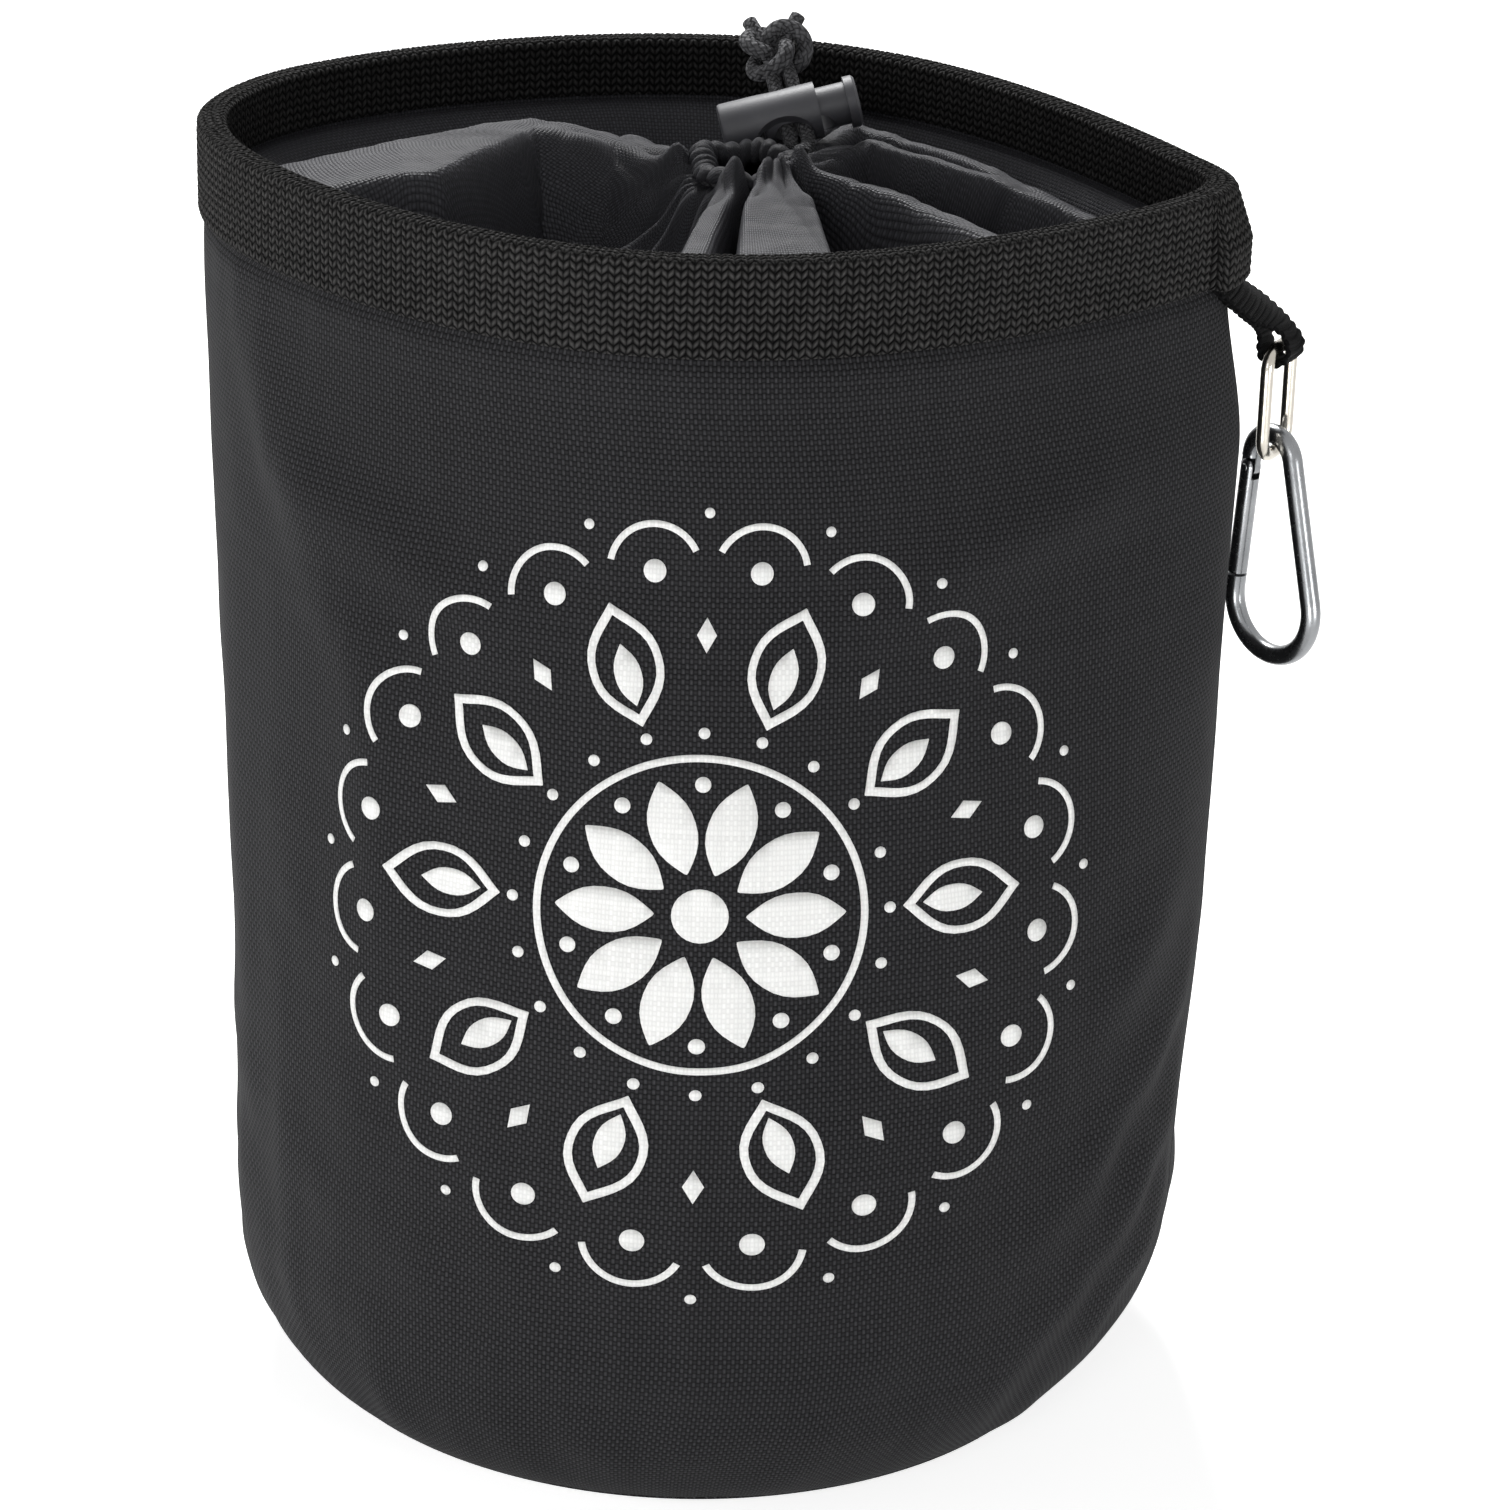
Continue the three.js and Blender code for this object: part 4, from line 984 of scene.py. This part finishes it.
def collarLevel(spot, share):
    look = collarLook
    bottom = lerp(gatherLook["z"] - gatherLook["channel"], collarFoot, share)
    start, power = look["hollowShape"]
    base = bottom - look["hollow"] * math.sin(math.pi * share ** start) ** power
    base += look["sag"] * spotNoise(spot.x / look["sagWidth"], spot.y / look["sagWidth"], 1.0)
    bearing = math.atan2(spot.y - gatherLook["y"], spot.x - gatherLook["x"])
    drawn = math.sin(look["drawnFolds"] * bearing + 1.4 * math.sin(2 * bearing) + math.sin(5 * bearing))
    base += look["drawnLift"] * math.sin(math.pi * share ** look["drawnShape"]) * drawn

    def swelled(height):
        return math.exp((height - look["mergeLevel"]) * look["merge"])

    level = base
    for crest, points in crestLines:
        high, part = crestShape(spot, crest, points)
        merged = swelled(level) + swelled(lerp(base, high, part)) - swelled(base)
        level = math.log(merged) / look["merge"] + look["mergeLevel"]
    return level


# puffs with sharp valleys between them, which spread out into the cloth
def pleatWave(bearing):
    first, second = gatherLook["pleatSway"]
    turn = gatherLook["pleats"] / 2 * bearing + first * math.sin(2 * bearing) + second * math.cos(3 * bearing)
    return 2 * abs(math.sin(turn)) ** gatherLook["pleatRound"] - 1.2


def gatherRing(bearing):
    look = gatherLook
    sway = math.sin(3 * bearing + 0.7) + 0.6 * math.sin(5 * bearing)
    dip = look["frontDip"] * max(0.0, -math.sin(bearing))
    return look["radius"] + look["sway"] * sway, look["z"] - dip + look["wave"] * math.cos(4 * bearing + 1.0)


# the cloth stands up in pleats round the front of the ring, and creases run out from it
def gatherStand(bearing, away):
    look = gatherLook
    front = ease(*look["standFront"], math.sin(bearing))
    rise = math.exp(-((away - look["standPlace"] * look["standWidth"]) / look["standWidth"]) ** 2)
    whole, pleated = look["standShares"]
    stand = look["stand"] * front * rise * (whole + pleated * pleatWave(bearing + look["standTwist"] * away))
    crease = look["crease"] * math.sin(look["creases"] * bearing + 2 * math.sin(5 * bearing))
    return stand + crease * math.exp(-away / look["creaseReach"]) * ease(0, look["creaseStart"], away)


# how far the cloth is pressed down by the lock that lies on it
def lockPress(spot, level):
    look = lockLook
    way = lockAlong.xy.normalized()
    off = spot - lockFoot.xy
    run = off.dot(way)
    beyond = run - min(max(run, 0.0), look["reach"])
    room = look["room"] ** 2 - (off - way * run).length_squared - beyond ** 2
    if room <= 0:
        return 0.0
    over = level - (lockFoot.z + run * math.tan(lockTilt) - math.sqrt(room) / math.cos(lockTilt))
    return (over + math.sqrt(over ** 2 + look["give"])) / 2


def makeCollar():
    look, gather = collarLook, gatherLook
    columns = look["columns"]
    rows = look["hemRows"] + look["spanRows"] + look["hookRows"]
    turns, around = evenTurns(bindingFoot, columns, whole=True)
    out = -(bagShape["wall"] + bagShape["layerGap"] + bagShape["collar"] / 2)
    table = []
    for turn in turns[:-1]:
        rim = wallPoint(turn, collarFoot, out - look["rimGap"])
        way = rim.xy - gatherCentre
        bearing, span = math.atan2(way.y, way.x), way.length
        way.normalize()
        across = Vector((-way.y, way.x))
        ringRadius, ringZ = gatherRing(bearing)
        puff = gather["channel"] * (1.0 + gather["puff"] * pleatWave(bearing))
        column = [wallPoint(turn, z, out)
                  for z in alongSteps(look["hemRows"], wallTop, innerFoot - look["rimGap"])[:-1]]
        for share in alongSteps(look["spanRows"], 1.0, 0.0):
            reach = lerp(ringRadius, span, share)
            near = math.exp(-(reach - gather["radius"]) / gather["spread"])
            swirl = look["swirl"] * math.sin(reach / 6 + 3 * bearing)
            spot = gatherCentre + way * reach + across * near * look["bend"] * math.sin(7 * bearing + reach / 5)
            level = collarLevel(spot, share)
            uneven = sum(lift * spotNoise(spot.x / wide, spot.y / wide, shift) for lift, wide, shift in look["uneven"])
            level += uneven * (1 - near) + gather["ruffle"] * near * pleatWave(bearing + swirl * (1 - near))
            level += gatherStand(bearing, reach - ringRadius)
            level -= lockPress(spot, level)
            level = lerp(level, ringZ - puff, ease(look["ringShare"], 0.0, share))
            level = lerp(level, collarFoot, ease(look["rimShare"], 1.0, share))
            column.append(Vector((spot.x, spot.y, level)))
        for angle in alongSteps(look["hookRows"], 1.5 * math.pi, 0.0)[1:]:
            spot = gatherCentre + way * (ringRadius + math.cos(angle) * puff)
            column.append(Vector((spot.x, spot.y, ringZ + math.sin(angle) * puff)))
        table.append(column)
    depths = [runningReach(column) for column in table]
    bm = bentGrid(columns, rows, lambda i, j: table[i % columns][j],
                  lambda i, j: (i / columns * around, depths[i % columns][j]), weld=True,
                  outside=lambda spot: Vector((0, 0, 1)))
    print("collar cloth", round(sum(face.calc_area() for face in bm.faces), 4), "square metres")
    piece = finishPiece("gatheredCollar", bm, collarNylon, "bag", ["collar"])
    giveWall(piece, look["thickness"], 0.0)
    return piece


collar = makeCollar()

# the drawstring inside the hem
hemLook = {"radius": 1.4, "sides": 12, "steps": 160}


def makeHemCord():
    path = []
    for bearing in alongSteps(hemLook["steps"], 0, 2 * math.pi)[:-1]:
        radius, z = gatherRing(bearing)
        path.append(Vector((gatherLook["x"] + math.cos(bearing) * radius,
                            gatherLook["y"] + math.sin(bearing) * radius, z)))
    bm = roundBar(path, hemLook["radius"], hemLook["sides"], loop=True)
    finishPiece("hemCord", bm, cordBraid, "bag", ["drawstring_loop"])


makeHemCord()
print("collar made")

# cord lock: barrel and plunger turned about their axis and cut across for the cord
lockSize = {
    "barrel": 19.5, "barrelRadius": 5.6, "bore": 4.4, "floor": 1.8, "footRound": 0.7, "footStep": 0.2, "sides": 64,
    "hole": 6.0, "holeLength": 11.6, "holeWidth": 4.4, "scoop": 9.5, "scoopDepth": 2.2, "scoopSides": 96, "cut": 30,
    "plunger": 8.1, "plungerLength": 19.4, "shaft": 4.2, "head": 5.1, "headThick": 2.2, "toe": 2.0, "chamfer": 0.5,
    "barrelEdge": 0.35, "plungerEdge": 0.25,
}


def turnedShape(profile, sides):
    bm = bmesh.new()
    verts = [bm.verts.new((along * mm, radius * mm, 0)) for along, radius in profile]
    edges = [bm.edges.new(pair) for pair in zip(verts, verts[1:])]
    bmesh.ops.spin(bm, geom=verts + edges, cent=(0, 0, 0), axis=(1, 0, 0), angle=2 * math.pi, steps=sides,
                   use_merge=True)
    bmesh.ops.remove_doubles(bm, verts=bm.verts[:], dist=1e-7)
    bmesh.ops.recalc_face_normals(bm, faces=bm.faces[:])
    return bm


def toolObject(bm):
    bmesh.ops.recalc_face_normals(bm, faces=bm.faces[:])
    mesh = bpy.data.meshes.new("tool")
    bm.to_mesh(mesh)
    bm.free()
    tool = bpy.data.objects.new("tool", mesh)
    scene.collection.objects.link(tool)
    return tool


# joins shapes to another, then cuts shapes out of it
def carved(bm, cuts, joins=()):
    tools = [(toolObject(shape), "UNION") for shape in joins] + [(toolObject(shape), "DIFFERENCE") for shape in cuts]
    work = toolObject(bm)
    for tool, operation in tools:
        step = work.modifiers.new("carve", "BOOLEAN")
        step.operation = operation
        step.solver = "EXACT"
        step.object = tool
    bpy.context.view_layer.update()
    done = bmesh.new()
    done.from_object(work, bpy.context.evaluated_depsgraph_get())
    for item in [work] + [tool for tool, _ in tools]:
        bpy.data.objects.remove(item)
    bmesh.ops.remove_doubles(done, verts=done.verts[:], dist=2e-6)
    bmesh.ops.dissolve_degenerate(done, edges=done.edges[:], dist=1e-6)
    return done


def moved(bm, place):
    bmesh.ops.transform(bm, matrix=place, verts=bm.verts[:])
    return bm


def roundShape(radius, depth, place, sides):
    bm = bmesh.new()
    bmesh.ops.create_cone(bm, cap_ends=True, segments=sides, radius1=radius * mm, radius2=radius * mm, depth=depth * mm)
    return moved(bm, place)


def boxShape(size, centre):
    bm = bmesh.new()
    bmesh.ops.create_cube(bm, size=1.0)
    bmesh.ops.scale(bm, vec=[side * mm for side in size], verts=bm.verts[:])
    bmesh.ops.translate(bm, vec=[spot * mm for spot in centre], verts=bm.verts[:])
    return bm


# a slot with round ends, right through the lock
def slotShape(start, size):
    length, width, depth = (size[key] for key in ("holeLength", "holeWidth", "cut"))
    bm = boxShape((length, depth, width), (start + length / 2, 0, 0))
    upright = [edge for edge in bm.edges if abs((edge.verts[0].co - edge.verts[1].co).y) > depth * mm * 0.9]
    bmesh.ops.bevel(bm, geom=upright, offset=width * mm * 0.499, segments=10, profile=0.5, affect="EDGES", material=-1)
    return bm


def softEdges(piece, width, angle=40.0):
    bevel = piece.modifiers.new("edges", "BEVEL")
    bevel.width = width * mm
    bevel.segments = 3
    bevel.limit_method = "ANGLE"
    bevel.angle_limit = math.radians(angle)
    bevel.harden_normals = True


def makeLock():
    size = lockSize
    end, outer, bore, floor = (size[key] for key in ("barrel", "barrelRadius", "bore", "floor"))
    foot, step = size["footRound"], size["footStep"]
    barrel = turnedShape([(0, 0), (0, outer - foot), (step, outer - step), (foot, outer), (end, outer), (end, bore),
                          (floor, bore), (floor, 0)], size["sides"])
    cuts = [slotShape(size["hole"], size)]
    for side in (-1, 1):
        reach = outer - size["scoopDepth"] + size["scoop"]
        place = Matrix.Translation(((size["hole"] + size["holeLength"] / 2) * mm, side * reach * mm, 0))
        cuts.append(roundShape(size["scoop"], size["cut"], place, size["scoopSides"]))
    bm = moved(carved(barrel, cuts), lockPlace)
    piece = finishPiece("lockBarrel", bm, lockPlastic, "lock", ["cord_lock_barrel"])
    softEdges(piece, size["barrelEdge"])
    start, shaft, head, chamfer = (size[key] for key in ("plunger", "shaft", "head", "chamfer"))
    tip = start + size["plungerLength"]
    neck = tip - size["headThick"]
    plunger = turnedShape([(start, 0), (start, shaft - chamfer), (start + chamfer, shaft), (neck, shaft), (neck, head),
                           (tip - chamfer, head), (tip, head - chamfer), (tip, 0)], size["sides"])
    bm = moved(carved(plunger, [slotShape(start + size["toe"], size)]), lockPlace)
    piece = finishPiece("lockPlunger", bm, lockPlastic, "plunger", ["cord_lock_plunger"])
    softEdges(piece, size["plungerEdge"])


makeLock()

# springs: the lock's round its axis, and the gate's inside its bore
lockSpringLook = {"radius": 2.85, "start": 2.35, "length": 5.2, "curls": 5, "wire": 0.25}
gateSpringLook = {"radius": 0.75, "start": 0.5, "length": 6.2, "curls": 6, "wire": 0.2}


def coilBar(look, start, place, curlSteps=28, sides=8):
    path = []
    for share in alongSteps(look["curls"] * curlSteps, 0, 1):
        angle = 2 * math.pi * look["curls"] * share
        path.append(place(start + look["length"] * share, look["radius"] * math.cos(angle),
                          look["radius"] * math.sin(angle)))
    return roundBar(path, look["wire"], sides)


lockCoil = coilBar(lockSpringLook, lockSpringLook["start"], lockSpot)
lockSpring = finishPiece("lockSpring", lockCoil, polishedSteel, "lock", ["cord_lock_spring"])
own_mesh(lockSpring)
print("lock made")

# hanger tab: webbing folded round the link's top bar, its root under the binding
tabLook = {
    "yaw": 18.0, "rootWidth": 16.0, "foldWidth": 7.0, "rootDepth": 7.3, "rootShares": (1.0, 0.6, 0.3), "thickness": 0.9,
    "foldClear": 1.4, "rib": 1.8, "ribHeight": 0.4, "columns": 20, "rows": 240, "plySteps": 12, "foldSteps": 10,
    # shares of the way down over which a ply bunches up, swings straight and opens for the link, and its bow
    "bunch": (0.5, 0.88), "swing": (-0.1, 0.85), "open": (0.55, 1.0), "bow": 0.5,
}
linkLook = {"wire": 2.6, "height": 24.2, "corner": 4.0, "half": 5.6, "cornerSteps": 16, "steps": 120, "sides": 20}
linkAcross = Vector((math.sin(math.radians(tabLook["yaw"])), math.cos(math.radians(tabLook["yaw"])), 0))
foldCentre = Vector(next(joint["pos_m"] for joint in frame["joints"] if joint["name"] == "link_swing")) / mm


def makeTab():
    look = tabLook
    columns, rows, wide, narrow = (look[key] for key in ("columns", "rows", "rootWidth", "foldWidth"))
    tabFoot = wallPoint(0.0, bindingFoot, 0.0)
    way = foldCentre - tabFoot
    lead = (way - linkAcross * way.dot(linkAcross)).normalized()
    square = lead.cross(linkAcross).normalized()
    bend = linkLook["wire"] / 2 + look["foldClear"] + look["thickness"] / 2
    innerPly = bagShape["layerGap"] + look["thickness"] / 2
    outerPly = innerPly + look["thickness"] + bagShape["layerGap"]

    def across(i):
        return i / columns - 0.5

    def root(i, z, out):
        return wallPoint(seamTurn(across(i) * wide, z), z, out)

    def rootLine(i, out):
        return [root(i, bindingFoot + look["rootDepth"] * share, out) for share in look["rootShares"]]

    def fold(i, angle):
        return (foldCentre + linkAcross * across(i) * narrow + square * math.cos(angle) * bend
                + lead * math.sin(angle) * bend)

    # a ply keeps its width, then bunches up and hangs straight where it holds the link
    def plyLine(i, out, angle):
        line = []
        aside = (tabFoot - foldCentre).dot(linkAcross)
        apart, side = (outerPly - innerPly) / 2, math.cos(angle)
        for share in alongSteps(look["plySteps"], 0, 1):
            here, middle = (root(k, bindingFoot - bagShape["layerGap"], out).lerp(fold(k, angle), share)
                            for k in (i, columns // 2))
            kept = lerp(wide, narrow, ease(*look["bunch"], share)) / lerp(wide, narrow, share)
            straight = aside * (share - ease(*look["swing"], share) + ease(*look["swing"], 0.0) * (1 - share))
            closed = side * (lerp(apart, bend, ease(*look["open"], share)) - lerp(apart, bend, share))
            line.append(middle + (here - middle) * kept + linkAcross * straight
                        + square * (closed + look["bow"] * math.sin(math.pi * share)))
        return line

    lines = []
    for i in range(columns + 1):
        line = rootLine(i, outerPly) + plyLine(i, outerPly, 0)[:-1]
        line += [fold(i, math.pi * share) for share in alongSteps(look["foldSteps"], 0, 1)]
        line += plyLine(i, innerPly, math.pi)[-2::-1] + rootLine(i, innerPly)[::-1]
        lines.append(evenPath(line, rows))
    length = runningReach(lines[columns // 2])[-1]
    ribs = round(length / look["rib"])
    for line in lines:
        spots = [spot.copy() for spot in line]
        for j in range(1, rows):
            raised = (spots[j + 1] - spots[j - 1]).cross(linkAcross).normalized() * look["ribHeight"]
            line[j] = spots[j] + raised * (math.sin(math.pi * ribs * j / rows) ** 2 - 0.5)
    bm = bentGrid(columns, rows, lambda i, j: lines[i][j], (wide, length), outside=lambda spot: spot - foldCentre)
    piece = finishPiece("hangerTab", bm, tabWebbing, "bag", ["hanger_tab"])
    giveWall(piece, look["thickness"], 0.0)


makeTab()


def arcSpot(centre, radius, angle):
    return Vector((centre[0] + math.cos(angle) * radius, centre[1] + math.sin(angle) * radius))


def arcPoints(centre, radius, start, end, count):
    return [arcSpot(centre, radius, angle) for angle in alongSteps(count, start, end)]


# oval link: a wire ring with straight sides, which hangs in the tab's fold
def makeLink():
    look = linkLook
    corner, side = look["corner"], look["half"] - look["corner"]
    low = look["wire"] - look["height"] + corner
    outline = []
    for centre, quarter in (((side, -corner), 1), ((side, low), 0), ((-side, low), -1), ((-side, -corner), 2)):
        outline += arcPoints(centre, corner, quarter * math.pi / 2, (quarter - 1) * math.pi / 2, look["cornerSteps"])
    outline.append(outline[0].copy())
    path = evenPath([foldCentre + linkAcross * p.x + Vector((0, 0, p.y)) for p in outline], look["steps"])[:-1]
    bm = roundBar(path, look["wire"] / 2, look["sides"], loop=True)
    finishPiece("ovalLink", bm, nickelPlate, "link", ["oval_link"])


makeLink()

# spring hook: a bent rod with a flat tongue, and a forked gate that turns on a pin
hookLook = {
    "planeYaw": 39.0, "rod": 4.0, "rodSides": 24, "rodSteps": 150, "length": 49.0, "topRadius": 5.6,
    "bottomRadius": 10.5, "lean": 2.6, "pivotDrop": 3.0, "noseRise": 2.5, "clear": 0.3, "tongue": 1.6, "eyeShare": 0.98,
    "edge": 0.25, "pin": 1.6, "pinShare": 1.04, "pinClear": 0.12, "pinEdge": 0.2, "well": 1.25, "wellDepth": 7.2,
    "gateChamfer": 0.3,
}
planeYaw = math.radians(hookLook["planeYaw"])
hookPlane = Vector((math.cos(planeYaw), -math.sin(planeYaw), 0))
hookTopSpot = foldCentre + Vector((0, 0, -(linkLook["height"] - linkLook["wire"]) + linkLook["wire"] / 2
                                   + hookLook["clear"] + hookLook["rod"] / 2))
hookPlace = Matrix((hookPlane, Vector((0, 0, 1)), hookPlane.cross(Vector((0, 0, 1))))).transposed().to_4x4()
hookPlace = Matrix.Translation(hookTopSpot * mm) @ hookPlace
topCentre = Vector((0, -hookLook["topRadius"]))
bottomCentre = Vector((hookLook["lean"], hookLook["rod"] + hookLook["bottomRadius"] - hookLook["length"]))
hookAxis = bottomCentre - topCentre
flare = math.acos((hookLook["topRadius"] - hookLook["bottomRadius"]) / hookAxis.length)
axisTurn = math.atan2(hookAxis.y, hookAxis.x)
spineNormal, gateNormal = axisTurn + flare, axisTurn - flare
gateTop = arcSpot(topCentre, hookLook["topRadius"], gateNormal)
gateFoot = arcSpot(bottomCentre, hookLook["bottomRadius"], gateNormal)
gateWay = (gateFoot - gateTop).normalized()
pivot = gateTop + gateWay * hookLook["pivotDrop"]
nose = gateFoot - gateWay * hookLook["noseRise"]
gateTurn = math.atan2(gateWay.y, gateWay.x)
gatePlace = Matrix.Translation((pivot.x * mm, pivot.y * mm, 0)) @ Matrix.Rotation(gateTurn, 4, "Z")


def gateBlock(x, width, thickness, z):
    return moved(boxShape((width, 2 * hookLook["rod"], thickness), (x, 0, z)), gatePlace)


def pinHole(sides=24, depth=20):
    return roundShape(hookLook["pin"] / 2 + hookLook["pinClear"], depth, gatePlace, sides)


def makeHook():
    look = hookLook
    rod, half = look["rod"], look["rod"] / 2
    shoulder = half + look["clear"]
    outline = [pivot, gateTop]
    outline += arcPoints(topCentre, look["topRadius"], gateNormal, spineNormal - 2 * math.pi, 40)
    outline += arcPoints(bottomCentre, look["bottomRadius"], spineNormal, gateNormal, 48)
    outline.append(nose)
    bar = roundBar(evenPath([p.to_3d() for p in outline], look["rodSteps"]), half, look["rodSides"])
    eye = roundShape(half, rod * look["eyeShare"], gatePlace, 32)
    cuts = [gateBlock(shoulder / 4, 2.5 * shoulder, rod, side * (look["tongue"] + rod) / 2) for side in (-1, 1)]
    bm = moved(carved(bar, cuts + [pinHole()], joins=[eye]), hookPlace)
    piece = finishPiece("hookBody", bm, polishedSteel, "hook", ["carabiner_body"])
    softEdges(piece, look["edge"])
    length, chamfer = (nose - pivot).length - look["clear"], look["gateChamfer"]
    profile = [(-half * math.cos(angle), half * math.sin(angle)) for angle in alongSteps(8, 0, math.pi / 2)]
    profile += [(length - chamfer, half), (length, half - chamfer), (length, 0)]
    gate = moved(turnedShape(profile, look["rodSides"]), gatePlace)
    fork = gateBlock(0, 2 * shoulder, look["tongue"] + 2 * look["clear"], 0)
    wellEnd = shoulder + look["wellDepth"]
    well = turnedShape([(0, 0), (0, look["well"]), (wellEnd, look["well"]), (wellEnd, 0)], 20)
    bm = moved(carved(gate, [fork, moved(well, gatePlace), pinHole()]), hookPlace)
    piece = finishPiece("hookGate", bm, polishedSteel, "gate", ["carabiner_gate"])
    softEdges(piece, look["edge"])
    pin = roundShape(look["pin"] / 2, rod * look["pinShare"], hookPlace @ gatePlace, 24)
    piece = finishPiece("gatePin", pin, polishedSteel, "hook", ["gate_pivot_pin"])
    softEdges(piece, look["pinEdge"])

    def coilSpot(along, a, b):
        return (hookPlace @ gatePlace @ Vector((along * mm, a * mm, b * mm))) / mm

    bm = coilBar(gateSpringLook, shoulder + gateSpringLook["start"], coilSpot)
    finishPiece("gateSpring", bm, polishedSteel, "gate", ["gate_spring"])


makeHook()
print("hook made")

# floor, world and lamps: a lamp above and behind, low cards at both sides and two weak ones in front
stageLook = {
    "floor": 3.0, "floorColour": (0.82, 0.82, 0.82), "floorGlow": 0.77, "worldLight": 0.13,
    # each lamp: its spot, what it is aimed at, its size and its power
    "lamps": {
        "topLamp": ((-0.35, 0.8, 1.15), (0, 0, 0.2), 0.45, 19.5),
        "leftCard": ((-1.1, -0.4, 0.16), (0, 0, 0.14), 0.34, 8.2),
        "rightCard": ((1.0, -0.6, 0.12), (0, 0, 0.1), 0.3, 5.5),
        "frontCard": ((0.1, -0.65, 0.02), (0, 0, 0.02), 0.2, 2.3),
        "upperCard": ((0.0, -1.1, 0.6), (0, 0, 0.1), 0.3, 1.5),
    },
}


# one for what the camera sees, straight or in a mirror, and nothing for the light that falls on the bag
def seenRays(tree):
    path = tree.nodes.new("ShaderNodeLightPath")
    return mathNode(tree, "MAXIMUM", path.outputs["Is Camera Ray"],
                    mathNode(tree, "MAXIMUM", path.outputs["Is Glossy Ray"], path.outputs["Is Transmission Ray"]))


def makeStage():
    bm = bmesh.new()
    bmesh.ops.create_grid(bm, x_segments=1, y_segments=1, size=stageLook["floor"])
    mesh = bpy.data.meshes.new("floor")
    bm.to_mesh(mesh)
    bm.free()
    floor = bpy.data.objects.new("floor", mesh)
    scene.collection.objects.link(floor)
    material, tree, shader = startMaterial("paleFloor", 0.9)
    shader.inputs["Base Color"].default_value = (*stageLook["floorColour"], 1)
    shader.inputs["Emission Color"].default_value = (1, 1, 1, 1)
    glow = mathNode(tree, "MULTIPLY", seenRays(tree), stageLook["floorGlow"])
    tree.links.new(glow, shader.inputs["Emission Strength"])
    mesh.materials.append(material)
    world = bpy.data.worlds.new("studio")
    scene.world = world
    world.use_nodes = True
    tree = world.node_tree
    backdrop = tree.nodes["Background"]
    backdrop.inputs["Color"].default_value = (1, 1, 1, 1)
    strength = mathNode(tree, "MULTIPLY_ADD", seenRays(tree), 1.0 - stageLook["worldLight"], stageLook["worldLight"])
    tree.links.new(strength, backdrop.inputs["Strength"])


def makeLamp(name, spot, aim, size, power):
    data = bpy.data.lights.new(name, "AREA")
    data.size = size
    data.energy = power
    lamp = bpy.data.objects.new(name, data)
    scene.collection.objects.link(lamp)
    lamp.location = spot
    lamp.rotation_euler = (Vector(aim) - Vector(spot)).to_track_quat("-Z", "Y").to_euler()


makeStage()
for lampName, lampLook in stageLook["lamps"].items():
    makeLamp(lampName, *lampLook)
scene.view_settings.view_transform = "Standard"
print("stage made")
